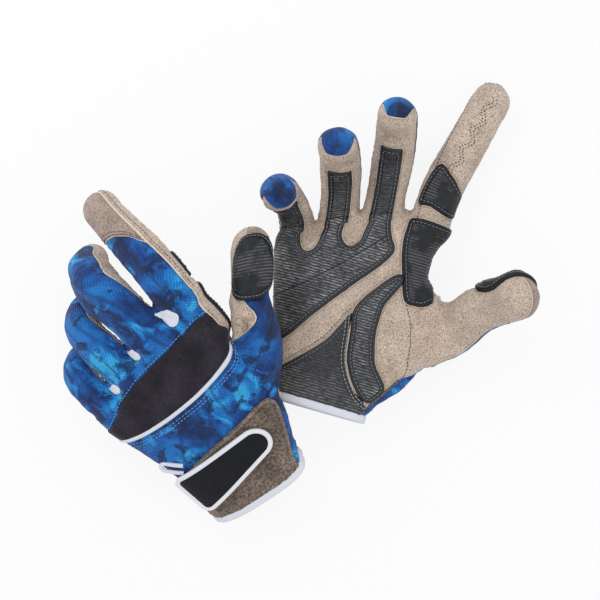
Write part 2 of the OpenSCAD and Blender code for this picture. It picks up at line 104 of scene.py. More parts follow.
area_lamp("key", (-0.5, 0.75, 1.1), 0.6, 16.0)
area_lamp("fill", (0.9, -0.2, 1.0), 0.9, 5.0)
area_lamp("low", (-0.1, -1.0, 0.5), 0.6, 2.5)
bpy.context.scene.view_settings.view_transform = "Standard"
print(len(bpy.data.lights), "lamps")

# %% [markdown]
# A white table could be made by more light, but that would bleach the gloves.
# Here the floor and the world look white only to the camera and in
# reflections, so every colour renders about as it is written. The floor keeps
# a little of its own shading, for the shadow.

# %% World and floor
FLOOR_HALF = 3.0
FLOOR_WHITE = 0.88


def white_over(tree, lit, white_kind, out_kind, share=1.0):
    """Camera, gloss and glass see a share of plain white; all else sees the lit shader."""
    nodes, links = tree.nodes, tree.links
    path = nodes.new("ShaderNodeLightPath")
    white = nodes.new(white_kind)
    white.inputs["Color"].default_value = (1, 1, 1, 1)
    white.inputs["Strength"].default_value = 1
    seen = path.outputs["Is Camera Ray"]
    for ray in ("Is Glossy Ray", "Is Transmission Ray"):
        either = nodes.new("ShaderNodeMath")
        either.operation = "MAXIMUM"
        links.new(seen, either.inputs[0])
        links.new(path.outputs[ray], either.inputs[1])
        seen = either.outputs[0]
    if share < 1:
        part = nodes.new("ShaderNodeMath")
        part.operation = "MULTIPLY"
        part.inputs[1].default_value = share
        links.new(seen, part.inputs[0])
        seen = part.outputs[0]
    join = nodes.new("ShaderNodeMixShader")
    for socket, value in enumerate((seen, lit.outputs[0], white.outputs[0])):
        links.new(value, join.inputs[socket])
    links.new(join.outputs[0], nodes.new(out_kind).inputs["Surface"])


def bare_tree(owner):
    owner.use_nodes = True
    owner.node_tree.nodes.clear()
    return owner.node_tree


world = bpy.data.worlds.new("studio")
bpy.context.scene.world = world
tree = bare_tree(world)
sky = tree.nodes.new("ShaderNodeBackground")
sky.inputs["Color"].default_value = (0.95, 0.97, 1, 1)
sky.inputs["Strength"].default_value = 0.85
white_over(tree, sky, "ShaderNodeBackground", "ShaderNodeOutputWorld")

floor_mesh = bpy.data.meshes.new("floor")
corners = [(-1, -1), (1, -1), (1, 1), (-1, 1)]
floor_mesh.from_pydata([(x * FLOOR_HALF, y * FLOOR_HALF, 0) for x, y in corners], [], 
                       [(0, 1, 2, 3)])
floor = into_scene("floor", floor_mesh)
paint = bpy.data.materials.new("floor_paint")
tree = bare_tree(paint)
matte = tree.nodes.new("ShaderNodeBsdfDiffuse")
matte.inputs["Color"].default_value = (0.9, 0.9, 0.91, 1)
white_over(tree, matte, "ShaderNodeEmission", "ShaderNodeOutputMaterial", FLOOR_WHITE)
floor_mesh.materials.append(paint)
print("one world, one floor of", 2 * FLOOR_HALF, "m")

# %% [markdown]
# The hand's sizes are those of the CAD part, in millimetres: x runs to the
# thumb side, y from the cuff to the fingers, z out of the back of the hand.
# The knuckle line has five corners; a finger grows from each pair of them.

# %% Sizes of the hand
PALM_W, PALM_LEN, PALM_T, CUFF_W, CUFF_T = 94, 122, 28, 64, 26
THUMB_LEN, THUMB_W = 84, 26
FINGER_ROUND, TIP_TAPER, FINGER_SPACE = 0.86, 0.88, 1.2
CUFF_DROP = 7
# The gap between a digit's shell and the hand's, as in the CAD part.
ROOT_GAP = 0.21
# The section's power: 1 is an ellipse, and less than 1 is fuller at the corners.
FULLNESS = 0.7
# Corners of the knuckle line, as shares of the palm's width and length.
KNUCKLES = np.array([[-0.49, 0.75], [-0.28, 0.83], [-0.03, 0.925], [0.255, 1], [0.535, 0.99]])
KNUCKLES = KNUCKLES * [PALM_W, PALM_LEN]
LITTLE_EDGE, INDEX_EDGE, THUMB_EDGE = -KNUCKLES[0, 0], KNUCKLES[4, 0], 0.575 * PALM_W
ROOT_T = FINGER_ROUND * (KNUCKLES[4, 0] - KNUCKLES[3, 0]) + 1.6
# The thumb grows from this stretch of the hand's edge, and opens by this angle.
THUMB_LO, THUMB_HI, THUMB_OPEN = 0.3 * PALM_LEN, 0.63 * PALM_LEN, 30
# The length of a digit over which one bend is spread.
BEND_LEN = 24
print("the hand is", PALM_W, "by", PALM_LEN, "mm, and", round(ROOT_T), "mm thick at the fingers")

# %% [markdown]
# The edges and the thickness of the hand change from the cuff to the knuckles.
# Each is a short list of [share of the palm's length, size], read between its
# entries, in the same way as the CAD part has them.

# %% Outline and thickness of the hand
def mix(a, b, t):
    return a + (b - a) * t


def ease(t):
    t = np.clip(t, 0, 1)
    return t * t * (3 - 2 * t)


def between(t, pairs):
    return np.interp(t, [p[0] for p in pairs], [p[1] for p in pairs])


def ulnar_x(y):
    half = CUFF_W / 2
    return -between(y / PALM_LEN, [
        [0, half], [0.16, half], [0.33, mix(half, LITTLE_EDGE, 0.15)],
        [0.5, mix(half, LITTLE_EDGE, 0.55)], [0.66, mix(half, LITTLE_EDGE, 0.93)],
        [0.75, LITTLE_EDGE]])


def radial_x(y):
    half = CUFF_W / 2
    return between(y / PALM_LEN, [
        [0, half], [0.08, mix(half, THUMB_EDGE, 0.22)], [0.18, mix(half, THUMB_EDGE, 0.6)],
        [0.3, THUMB_EDGE - 0.5], [0.63, mix(THUMB_EDGE, INDEX_EDGE, 0.5)],
        [0.82, INDEX_EDGE], [0.99, INDEX_EDGE]])


def hand_t(y):
    return between(y / PALM_LEN, [
        [0, CUFF_T], [0.2, mix(CUFF_T, PALM_T, 0.5)], [0.45, PALM_T],
        [0.8, mix(PALM_T, ROOT_T, 0.4)], [0.95, ROOT_T]])


def root_y(x):
    return np.interp(x, KNUCKLES[:, 0], KNUCKLES[:, 1])


def end_angle(y):
    return 180 - THUMB_OPEN * ease((y - THUMB_LO) / 3) * ease((THUMB_HI - y) / 3)


def half_widths(y):
    """Half widths of the hand on the little finger's side and on the thumb's side."""
    half = (radial_x(y) - ulnar_x(y)) / 2
    return half, half / (-np.cos(np.radians(end_angle(y)))) ** FULLNESS


def fork_dip(x, y, depth=0.4):
    reach = np.max([ease(1 - np.abs(x - KNUCKLES[k, 0]) / 11) for k in (1, 2, 3)], axis=0)
    return 1 - depth * ease((y - root_y(x)) / 16 + 1) * reach


def cuff_y(angle, drop=CUFF_DROP):
    """The cuff edge: lower on the back, and lowest on its thumb side."""
    a = np.radians(angle)
    return -drop * np.sqrt(np.maximum(0, np.sin(a))) * (0.75 - 0.25 * np.cos(a))


for y in (0, 0.5 * PALM_LEN, 0.9 * PALM_LEN):
    print("at", round(y), "mm the hand is", round(float(radial_x(y) - ulnar_x(y)), 1), "mm wide")

# %% [markdown]
# A digit is a tube that starts on its stretch of the knuckle line. A cylinder
# would do for a toy; a filled finger is a little flat, and narrows to its tip.
# The lists give each digit's heading, and per glove its pose in degrees.

# %% Digits
NAMES = ["thumb", "index", "middle", "ring", "little"]
HEADINGS = [72, 3, -2, -7, -14]
LENGTHS = [THUMB_LEN, 90, 88, 80, 62]
# The joints' places along a digit, as shares of its length.
MIDDLE_JOINT, OUTER_JOINT = 0.42, 0.7
# Poses: spread, twist, and the bends at the root, the middle joint and the outer joint.
LEFT_POSE = [[-48, -75, 24, 4, 4], [-22, 0, 43, 13, 9], [-46, 0, 42, 33, 22],
             [-34, 0, 51, 38, 28], [-12, 0, 65, 34, 18]]
RIGHT_POSE = [[-20, -8, 27, 13, 10], [11, 0, 0, 0, -2], [-5, 0, 17, 33, 29],
              [-7, 0, 30, 33, 31], [-48, -15, 54, 30, 30]]


def finger(k):
    """Finger k, 1 for the index to 4 for the little finger."""
    a, b = KNUCKLES[4 - k], KNUCKLES[5 - k]
    root = b - a
    lean = HEADINGS[k] + math.degrees(math.atan2(root[1], root[0]))
    half = math.hypot(*root) * math.cos(math.radians(lean)) / 2 - FINGER_SPACE / 2
    return dict(o=(a + b) / 2, heading=HEADINGS[k], len=LENGTHS[k],
                slant=math.tan(math.radians(lean)), w=(half, half * TIP_TAPER),
                h=(half * FINGER_ROUND, half * TIP_TAPER * FINGER_ROUND))


def thumb():
    low = np.array([float(radial_x(THUMB_LO)), THUMB_LO])
    high = np.array([float(radial_x(THUMB_HI)), THUMB_HI])
    root = low - high
    lean = HEADINGS[0] + math.degrees(math.atan2(root[1], root[0]))
    half = math.hypot(*root) * math.cos(math.radians(lean)) / 2 - FINGER_SPACE
    thick = float(hand_t(THUMB_HI)) / 2 * math.sin(math.radians(THUMB_OPEN)) ** FULLNESS
    return dict(o=(low + high) / 2, heading=HEADINGS[0], len=THUMB_LEN,
                slant=math.tan(math.radians(lean)), w=(half, THUMB_W / 2),
                h=(thick, THUMB_W / 2 * 0.92))


DIGITS = [thumb()] + [finger(k) for k in (1, 2, 3, 4)]


def digit_of(name):
    """The digit that a panel belongs to, by its number, or None for the hand."""
    return next((k for k, digit in enumerate(NAMES) if name.startswith(digit)), None)


for name, d in zip(NAMES, DIGITS):
    print(name, "is", round(2 * d["w"][0], 1), "mm wide at its root and", d["len"], "mm long")

# %% [markdown]
# It is drawn straight, because a straight finger is easy to mark out, and each
# point keeps its place along the finger, across it and above it. To bend the
# finger, the same three numbers are laid out again along a curved middle line.

# %% Straight and bent digits
# The root's slant fades out over this length.
SLANT_LEN = 30
# The tube runs on inside the hand for this length.
HEEL_LEN = 8
LINE_STEP = 0.5


def digit_place(d, p):
    """Where points p lie on a digit: along it, across it to the thumb side, above it."""
    h = math.radians(d["heading"])
    x, y = p[:, 0] - d["o"][0], p[:, 1] - d["o"][1]
    along = x * math.sin(h) + y * math.cos(h) - ROOT_GAP
    across = x * math.cos(h) - y * math.sin(h)
    start = along - d["slant"] * across
    near = start / np.maximum(0.3, 1 - d["slant"] * across / SLANT_LEN)
    s = np.where(start < 0, start, np.where(near < SLANT_LEN, near, along))
    return s, across, p[:, 2]


def sections(d, s):
    """Half the digit's width and half its height at s; the thumb narrows early."""
    t = np.clip(s / d["len"], 0, 1)
    t = ease(t / 0.5) if d["heading"] > 45 else t
    return mix(d["w"][0], d["w"][1], t), mix(d["h"][0], d["h"][1], t)


def digit_distance(d, p):
    s, across, up = digit_place(d, p)
    w, h = sections(d, s)
    tip = d["w"][1]
    end = np.where(s > 0, np.maximum(0, s - d["len"] + tip) / tip, s / HEEL_LEN)
    g = np.sqrt((across / w) ** 2 + (up / h) ** 2 + end ** 2) + 1e-9
    slope = np.sqrt((across / w ** 2) ** 2 + (up / h ** 2) ** 2
                    + (end / np.where(s > 0, tip, HEEL_LEN)) ** 2) / g
    return (g - 1) / np.maximum(slope, 0.02)


def lay_along(d, pose, p):
    """Points p of the straight digit, moved to the bent one."""
    s, across, up = digit_place(d, p)
    spread, twist, root_bend, middle_bend, end_bend = pose
    length = d["len"]

    def bent(s):
        return (root_bend * ease((s - 1) / BEND_LEN)
                + middle_bend * ease((s - MIDDLE_JOINT * length) / BEND_LEN + 0.5)
                + end_bend * ease((s - OUTER_JOINT * length) / BEND_LEN + 0.5))

    def turned(s):
        return d["heading"] + spread * ease((s - 1) / (BEND_LEN + 6))

    def ahead(s):
        h, b = np.radians(turned(s)), np.radians(bent(s))
        return np.stack([np.sin(h) * np.cos(b), np.cos(h) * np.cos(b), -np.sin(b)], -1)

    table_s = np.arange(0, length + 12, LINE_STEP)
    steps = ahead(table_s + LINE_STEP / 2) * LINE_STEP
    table = np.vstack([[0, 0, 0], np.cumsum(steps, 0)[:-1]]) + [*d["o"], 0]
    at = np.maximum(s, 0)
    middle = np.stack([np.interp(at, table_s, table[:, i]) for i in range(3)], -1)
    middle = middle + ahead(at) * np.maximum(at - table_s[-1], 0)[:, None]
    h, b = np.radians(turned(at)), np.radians(bent(at))
    w = np.radians(twist * ease(at / (BEND_LEN + 14)))
    side = np.stack([np.cos(h), -np.sin(h), 0 * h], -1)
    back = np.stack([np.sin(h) * np.sin(b), np.cos(h) * np.sin(b), np.cos(b)], -1)
    cw, sw = np.cos(w)[:, None], np.sin(w)[:, None]
    root = ROOT_GAP + d["slant"] * across * np.clip(1 - at / SLANT_LEN, 0, 1)
    moved = (middle + (side * cw + back * sw) * across[:, None]
             + (back * cw - side * sw) * up[:, None] + ahead(at) * root[:, None])
    return np.where((s > 0)[:, None], moved, p)


for k, d in enumerate(DIGITS):
    h = math.radians(d["heading"])
    tip = d["len"] * np.array([[math.sin(h), math.cos(h), 0]]) + [*d["o"], 0]
    print(NAMES[k], "tip in the left pose:", lay_along(d, LEFT_POSE[k], tip)[0].round())

# %% [markdown]
# One skin over the palm and the five tubes could be modelled by hand, one loop
# of edges after another. Here the shape is written as a distance instead: each
# part says how far a point is from it, and a soft minimum melts the parts into
# one another, which gives the webs between the fingers for nothing.

# %% The hand as a distance
# How far the parts melt into one another: finger and finger, thumb and palm, fingers and palm.
WEB, THUMB_WEB, PALM_WEB = 3.0, 12.0, 5.0


def soft_min(a, b, k):
    t = np.clip(0.5 + 0.5 * (b - a) / k, 0, 1)
    return mix(b, a, t) - k * t * (1 - t)


def palm_distance(p):
    x, y, z = p[:, 0], p[:, 1], p[:, 2]
    little_half, thumb_half = half_widths(y)
    middle = (radial_x(y) + ulnar_x(y)) / 2
    w = np.where(x < middle, little_half, thumb_half)
    h = hand_t(y) / 2 * fork_dip(x, y)
    n = 2 / FULLNESS
    across, up = np.abs(x - middle) / w + 1e-6, np.abs(z) / h + 1e-6
    g = (across ** n + up ** n) ** (1 / n)
    slope = g ** (1 - n) * np.sqrt((across ** (n - 1) / w) ** 2 + (up ** (n - 1) / h) ** 2)
    inner = (g - 1) / np.maximum(slope, 0.02)
    return -soft_min(-inner, -(y - root_y(x) + 1), PALM_WEB)


def hand_distance(p):
    fingers = digit_distance(DIGITS[1], p)
    for d in DIGITS[2:]:
        fingers = soft_min(fingers, digit_distance(d, p), WEB)
    palm = soft_min(palm_distance(p), digit_distance(DIGITS[0], p), THUMB_WEB)
    return soft_min(palm, fingers, PALM_WEB)


centre = np.array([[0, 0.5 * PALM_LEN, 0]])
print("the middle of the palm lies", hand_distance(centre).round(1)[0], "mm from the skin")

# %% [markdown]
# The distance becomes a mesh with a surface net: in every small cube that the
# surface passes through goes one point, and every crossed cube edge gets a
# quad. A net gives evener cells than marching cubes, with fewer slivers.

# %% Surface net
CELL = 1.3
# The grid's corners, and how far the skin runs on below the cuff, to be cut off later.
GRID_LOW, GRID_HIGH = (-70, -15, -19), (142, 216, 19)
STUMP = 10.5


def surface_net(low, high, cell, distance):
    axes = [np.arange(a, b, cell) for a, b in zip(low, high)]
    grid = np.stack(np.meshgrid(*axes, indexing="ij"), -1)
    value = distance(grid.reshape(-1, 3)).reshape(grid.shape[:3])
    value = np.maximum(value, -(grid[..., 1] + STUMP))
    room = np.array(value.shape) - 1
    total, count = np.zeros((*room, 3)), np.zeros(room)
    crossings = []
    for axis in range(3):
        first = value[tuple(slice(0, -1) if i == axis else slice(None) for i in range(3))]
        second = value[tuple(slice(1, None) if i == axis else slice(None) for i in range(3))]
        cross = np.argwhere((first < 0) != (second < 0))
        a, b = first[tuple(cross.T)], second[tuple(cross.T)]
        point = cross.astype(float)
        point[:, axis] += a / (a - b)
        u, w = (axis + 1) % 3, (axis + 2) % 3
        around = []
        for du, dw in ((0, 0), (1, 0), (1, 1), (0, 1)):
            c = cross.copy()
            c[:, u] -= du
            c[:, w] -= dw
            np.add.at(total, tuple(c.T), point)
            np.add.at(count, tuple(c.T), 1)
            around.append(c)
        crossings.append((around, a < 0))
    used = count > 0
    ids = np.full(room, -1)
    ids[used] = np.arange(used.sum())
    points = total[used] / count[used][:, None] * cell + np.array(low)
    quads = []
    for around, outward in crossings:
        quad = np.stack([ids[tuple(c.T)] for c in around], 1)
        quads.append(np.where(outward[:, None], quad, quad[:, ::-1]))
    return points, np.vstack(quads)


points, quads = surface_net(GRID_LOW, GRID_HIGH, CELL, hand_distance)
print("the net has", len(points), "points and", len(quads), "quads")

# %% [markdown]
# Then each point slides along the slope of the distance onto the surface, so
# the mesh is as smooth as the formula, and the quads are cut to triangles.

# %% The hand as a mesh
SETTLE_ABOVE, SETTLE_ROUNDS = -9, 3


def slope_of(p, distance, e=0.05):
    return np.stack([(distance(p + e * axis) - distance(p - e * axis)) / (2 * e)
                     for axis in np.eye(3)], -1)


def onto_surface(p, distance, rounds):
    for _ in range(rounds):
        slope = slope_of(p, distance)
        p = p - slope * (distance(p) / np.maximum((slope ** 2).sum(1), 0.1))[:, None]
    return p


def triangles(points, quads):
    """Cuts each quad along its shorter diagonal."""
    a, b, c, d = quads.T
    one_way = np.linalg.norm(points[a] - points[c], axis=1)
    other_way = np.linalg.norm(points[b] - points[d], axis=1)
    first = (one_way < other_way)[:, None]
    one = np.where(first, quads[:, [0, 1, 2]], quads[:, [0, 1, 3]])
    two = np.where(first, quads[:, [0, 2, 3]], quads[:, [1, 2, 3]])
    return np.vstack([one, two])


inner = points[:, 1] > SETTLE_ABOVE
points[inner] = onto_surface(points[inner], hand_distance, SETTLE_ROUNDS)
tris = triangles(points, quads)
print("the hand has", len(points), "points and", len(tris), "triangles")

# %% [markdown]
# Each point of the skin belongs to the palm or to a digit. In the forks it
# belongs a little to both, so the cloth there is shared out and doesn't tear
# when the fingers bend.

# %% Sharing out the skin
# Over how many mm a digit's share fades, and how far it reaches into the palm.
SHARE_WIDTH = [14, 6, 6, 6, 6]
PALM_SLACK = [6, 5, 5, 5, 5]


def leads(p):
    """How much nearer each digit is than everything else."""
    digit = np.stack([digit_distance(d, p) for d in DIGITS], 1)
    palm = palm_distance(p)
    lead = [np.minimum(palm + PALM_SLACK[k], np.delete(digit, k, 1).min(1)) - digit[:, k]
            for k in range(5)]
    return np.stack(lead, 1)


def shares(p):
    raw = np.clip(leads(p) / SHARE_WIDTH + 0.5, 0, 1)
    return raw / np.maximum(1, raw.sum(1))[:, None]


def angle_of(p):
    """How far round the hand a point is, from the little finger's edge over the back."""
    x, y, z = p.T
    middle, (little_half, thumb_half) = (radial_x(y) + ulnar_x(y)) / 2, half_widths(y)
    aside = np.clip((middle - x) / np.where(x < middle, little_half, thumb_half), -1, 1)
    up = np.clip(z / (hand_t(y) / 2), -1, 1)
    return np.degrees(np.arctan2(np.sign(up) * np.abs(up) ** (1 / FULLNESS),
                                 np.sign(aside) * np.abs(aside) ** (1 / FULLNESS)))


share = shares(points)
print("each digit takes", share.sum(0).round(), "of the points")

# %% [markdown]
# The same skin gives both gloves: it is bent twice, and the right one is
# turned over, palm up. The left glove's thumb edge is drawn in a little, and
# the right one has a notch between thumb and index finger and a straight cuff.

# %% Bending the hand
# How much of the tuck and of the notch each height takes: [share of the length, share].
TUCK = [[0, 0], [0.08, 0.22], [0.18, 0.6], [0.3, 1], [0.63, 1], [0.75, 0]]
NOTCH = [[0.62, 0], [0.71, 1], [0.83, 0.9], [0.95, 0.2], [1, 0]]
LIFT_LEN = 30


def tucked(p, glove):
    """Draws the thumb's edge of the palm in, and lifts the back of a cuff that doesn't drop."""
    x, y = p[:, 0], p[:, 1]
    share_x = np.clip((x - ulnar_x(y)) / (radial_x(y) - ulnar_x(y)), 0, 1)
    drawn = (glove["tuck"] * between(y / PALM_LEN, TUCK) * share_x
             + glove["notch"] * between(y / PALM_LEN, NOTCH) * share_x ** 5)
    edge = cuff_y(angle_of(p))
    lift = (1 - glove["drop"] / CUFF_DROP) * -edge * (1 - ease((y - edge) / LIFT_LEN))
    return p + np.stack([-drawn, lift, 0 * y], -1)


def bend(p, glove, share):
    base = tucked(p, glove)
    moved = base.copy()
    for k, d in enumerate(DIGITS):
        some = share[:, k] > 0
        laid = lay_along(d, glove["pose"][k], p[some])
        if k == 0:
            laid[:, 0] -= glove["tuck"]
        moved[some] += (laid - base[some]) * share[some, k][:, None]
    return moved


def turn(axis, degrees):
    c, s = math.cos(math.radians(degrees)), math.sin(math.radians(degrees))
    return {"x": np.array([[1, 0, 0], [0, c, -s], [0, s, c]]),
            "y": np.array([[c, 0, s], [0, 1, 0], [-s, 0, c]]),
            "z": np.array([[c, -s, 0], [s, c, 0], [0, 0, 1]])}[axis]


GLOVES = {
    "left": dict(pose=LEFT_POSE, tuck=6, notch=0, drop=CUFF_DROP,
                 place=np.array([-26.9, -104, 20.5]),
                 turn=turn("z", 41.4) @ turn("x", 20) @ turn("y", -18)),
    "right": dict(pose=RIGHT_POSE, tuck=0, notch=7, drop=0,
                  place=np.array([6.1, -58, 21.1]),
                  turn=turn("z", -16) @ turn("x", -3) @ turn("y", -4) @ np.diag([1, 1, -1])),
}


def place(side, p):
    """From one hand's own frame, in mm, to its place in the pair."""
    return p @ GLOVES[side]["turn"].T + GLOVES[side]["place"]


for side, glove in GLOVES.items():
    spot = place(side, bend(points, glove, share))
    print(side, "glove reaches", spot.min(0).round(1), "to", spot.max(0).round(1))

# %% [markdown]
# A filled glove isn't as straight as its pattern: the cloth of a finger leans
# to one side or stands off. That could be a lattice or a sculpted correction;
# a few numbers along each digit are easier to read and to change.

# %% The lean of the cloth
# For each digit rows of [along the digit, toward +x, toward +y], in mm.
LEAN = {
    "left": [[[-5, 0, 0], [8, -6, 0.5], [44, -7, 0], [58, -3, 1.2], [75, 0.5, 2.4]],
             [[-14, 0, 0], [0, 1.9, 1.9], [40, 1.6, 1.6], [62, -0.5, 0.2], [80, -2.6, -0.8]],
             [[0, 0, 0], [30, 0.6, 0.8], [70, 0.2, 1.6]],
             [[0, 0, 0], [40, 0.6, 1.8], [70, 0.6, 2.2]],
             [[0, 0, 0], [30, 1.4, 2.0], [60, 1.6, 2.6]]],
    "right": [[[0, 0, 0], [60, -2.0, 2.0]],
              [[0, 0, 0], [80, -0.8, 0]],
              [[0, 0, 0], [30, -0.8, 0], [70, -0.8, -0.4]],
              [[0, 0, 0], [60, -1.4, -1.2]],
              [[0, 0, 0], [16, -2.4, -1.2], [50, -4.2, -2.6]]],
}


def worn(side, p, share):
    """Points of the straight hand as they lie on the glove, with the lean of the cloth."""
    spot = place(side, bend(p, GLOVES[side], share))
    for k, d in enumerate(DIGITS):
        s, rows = digit_place(d, p)[0], np.array(LEAN[side][k], float)
        for axis in (0, 1):
            spot[:, axis] += share[:, k] * between(s, rows[:, [0, axis + 1]])
    return spot


for side in GLOVES:
    moved = worn(side, points, share) - place(side, bend(points, GLOVES[side], share))
    print(side, "glove leans by up to", np.linalg.norm(moved, axis=1).max().round(1), "mm")

# %% [markdown]
# A glove maker draws each panel as an outline on card. Here an outline is a
# short list of corners on the flat hand, rounded by a smooth curve, and its
# field tells every point of the skin how far inside the outline it is. The
# zero line of a field is a seam.

# %% Outlines and their fields
def smooth_loop(corners, per=10):
    c = np.array(corners, float)
    t = np.linspace(0, 1, per, endpoint=False)[:, None]
    a, b, e, f = np.roll(c, 1, 0), c, np.roll(c, -1, 0), np.roll(c, -2, 0)
    parts = [0.5 * (2 * b[i] + (e[i] - a[i]) * t + (2 * a[i] - 5 * b[i] + 4 * e[i] - f[i]) * t ** 2
                    + (3 * b[i] - a[i] - 3 * e[i] + f[i]) * t ** 3) for i in range(len(c))]
    return np.vstack(parts)


def line_distance(p, loop):
    """Distance from 2-D points to a closed run of straight pieces."""
    best = np.full(len(p), 1e9)
    for a, b in zip(loop, np.roll(loop, -1, 0)):
        ab = b - a
        t = np.clip(((p - a) @ ab) / max(ab @ ab, 1e-9), 0, 1)
        best = np.minimum(best, np.hypot(*(p - a - t[:, None] * ab).T))
    return best


def outline(p, corners):
    """Distance to a rounded outline, above zero inside."""
    loop = smooth_loop(corners)
    inside = np.zeros(len(p), bool)
    for a, b in zip(loop, np.roll(loop, -1, 0)):
        if a[1] != b[1]:
            cross = (a[1] > p[:, 1]) != (b[1] > p[:, 1])
            inside ^= cross & (p[:, 0] < (b[0] - a[0]) * (p[:, 1] - a[1]) / (b[1] - a[1]) + a[0])
    return np.where(inside, 1, -1) * line_distance(p, loop)


square = [(-10, -10), (-10, 10), (10, 10), (10, -10)]
print("the middle of a rounded 20 mm square lies",
      outline(np.zeros((1, 2)), square).round(1)[0], "mm inside it")

# %% [markdown]
# These are the card patterns: the patches on the back of the hand, those on
# the palm, and those on the digits. The palm patch has round U notches where
# the fingers start, and the knuckle panel is square at its thumb end.

# %% Patterns of the patches
# On the back of the hand, as x and y in mm.
KNUCKLE_PANEL = [(-52, 78), (-40, 82), (-25, 91), (-10, 97), (3, 100), (19, 102.5), (35, 105),
                 (46, 106), (55, 104), (56, 88), (49, 79), (41, 76), (22, 72), (8, 70), (-13, 69),
                 (-33, 70), (-52, 74)]
WRIST_PATCH = [(-30, -16), (-31, 20), (-29, 31), (-23, 33.5), (-4, 37.5), (19, 40.5), (38, 43.5),
               (45, 42.5), (46, 36), (38, 18), (31, 3), (29.5, -5), (29, -16)]
# On the palm.
PALM_PATCH = [(-48, 60), (-47, 80), (-44, 95), (-38, 100), (-33.2, 97), (-32.3, 90), (-30, 85.6),
              (-26.8, 84), (-23.6, 85.6), (-21.4, 90), (-20.6, 98), (-19, 105), (-14.5, 107),
              (-10, 105), (-9.3, 98.8), (-6.8, 95), (-3.5, 93.6), (-0.3, 95), (2.2, 98.8),
              (3.2, 106), (4.5, 113),
              (9, 119), (15, 118), (16.5, 112), (19.5, 105), (23, 98), (18, 88), (5, 72), (-12, 50),
              (-25, 32), (-38, 26), (-48, 40)]
HEEL_PATCH = [(-30, -8), (-31, 6), (-28, 13), (-21, 17), (-3, 35), (4, 47), (9, 56.5), (10.2, 45),
              (13, 28), (21, 14), (30, 7.5), (36, -8)]
THUMB_BAND = [(10, 60), (20, 76), (29, 85.5), (33, 82), (29, 72), (26, 65), (25.5, 56), (26, 47),
              (28, 38), (31, 30), (39, 20), (37, 13), (31, 8.2), (22, 14.8), (14, 28.5),
              (11.3, 45)]
WEB_PATCH = [(28, 119.5), (45, 120), (55, 117), (52, 104), (47, 93), (53, 79), (50, 72), (42, 70),
             (36, 72), (31, 86), (27, 100), (26, 111)]
# On a digit: round it from the pad's middle, and along it.
INDEX_PATCH = [(-9.5, 8), (-7.5, 31), (2, 29), (10, 24), (17, 19), (17, 6), (9, 4.5), (-2, 7)]
THUMB_PATCH = [(-17, 57), (-16, 66), (-9, 77), (0, 79.5), (9, 77), (16, 66), (17, 57), (14.5, 49),
               (8, 44), (0, 42.5), (-8, 43), (-15, 49)]
# Where the index finger's suede cap ends: across the finger, and along it.
INDEX_CAP = [(-25, 56), (-12, 55), (-6, 52), (0, 48), (6, 41), (10, 31), (13, 22), (25, 15)]
# The strips on the fingers: where each ends, half its width, and how far it sits aside.
STRIP_ENDS = {2: 50, 3: 42, 4: 28}
STRIP_HALF, STRIP_SHIFT = 6.5, {2: -1.0, 3: 0.0, 4: -2.0}
# Each white gusset is a drop: from the fork to its round end, and how wide that end is.
GUSSETS = [[(23.5, 127), (31.5, 115.5), 4.0], [(-4.5, 121), (0.8, 110), 2.7],
           [(-27.5, 107), (-22.5, 100.5), 3.1]]
print("the palm patch has", len(PALM_PATCH), "corners and the knuckle panel", len(KNUCKLE_PANEL))

# %% [markdown]
# Where an outline runs off the hand's flat face it is measured round the
# digit instead, as a tape would be laid on it. Fields can be joined: the
# strips melt into the palm patch, as they are cut from one hide.

# %% Fields of the hand
def edge_of_strip(k, p):
    s, across, up = digit_place(DIGITS[k], p)
    aside = STRIP_HALF - np.abs(across - STRIP_SHIFT[k])
    return np.minimum(aside, (STRIP_ENDS[k] - s) * 0.9)


def around_digit(k, p):
    """Along the digit, and round it from the pad's middle, in mm, above 0 to the thumb side."""
    s, across, up = digit_place(DIGITS[k], p)
    w, h = sections(DIGITS[k], s)
    angle = np.arctan2(across / w, -up / h)
    return s, angle * (w + h) / 2, across, up


def hand_fields(p):
    lead = leads(p)
    x, y, z = p.T
    made = {"cuff": y - cuff_y(angle_of(p))}
    for k in range(5):
        s = digit_place(DIGITS[k], p)[0]
        made[f"digit{k}"] = np.minimum(s, lead[:, k])
    wrist_wrap = 7.5 * ease((38 - y) / 14) * ease((x - 5) / 15)
    index_wrap = -6 * ease((y - 82) / 14) * ease((x - 30) / 12)
    made["side"] = z + wrist_wrap + index_wrap
    # The back's outlines are drawn on the left hand and the palm's on the right one.
    back_xy, palm_xy = tucked(p, GLOVES["left"])[:, :2], tucked(p, GLOVES["right"])[:, :2]
    made["knuckle"] = outline(back_xy, KNUCKLE_PANEL)
    made["wrist"] = outline(back_xy, WRIST_PATCH)
    leather = outline(palm_xy, PALM_PATCH)
    for k in (2, 3, 4):
        s = digit_place(DIGITS[k], p)[0]
        strip = np.where(s > -4, edge_of_strip(k, p), -9)
        leather = -soft_min(-leather, -strip, 1.5)
    made["leather"] = leather
    made["heel"] = outline(palm_xy, HEEL_PATCH)
    made["band"] = outline(palm_xy, THUMB_BAND)
    made["web"] = np.minimum(outline(palm_xy, WEB_PATCH), -z - 1)
    drops = []
    for fork, low, wide in GUSSETS:
        fork, low = np.array(fork), np.array(low)
        t = np.clip((back_xy - fork) @ (low - fork) / ((low - fork) @ (low - fork)), 0, 1)
        far = np.hypot(*(back_xy - fork - t[:, None] * (low - fork)).T)
        drops.append(wide * (0.6 + 0.4 * t) - far)
    made["gusset"] = np.max(drops, 0)
    return made


fields = hand_fields(points)
print(len(fields), "fields on the hand")

# %% [markdown]
# The seams of the digits run along their sides, between the knit back and the
# suede pad. On the index finger and the thumb the suede comes over the tip, and
# at the thumb's root it reaches the back in a round lobe.

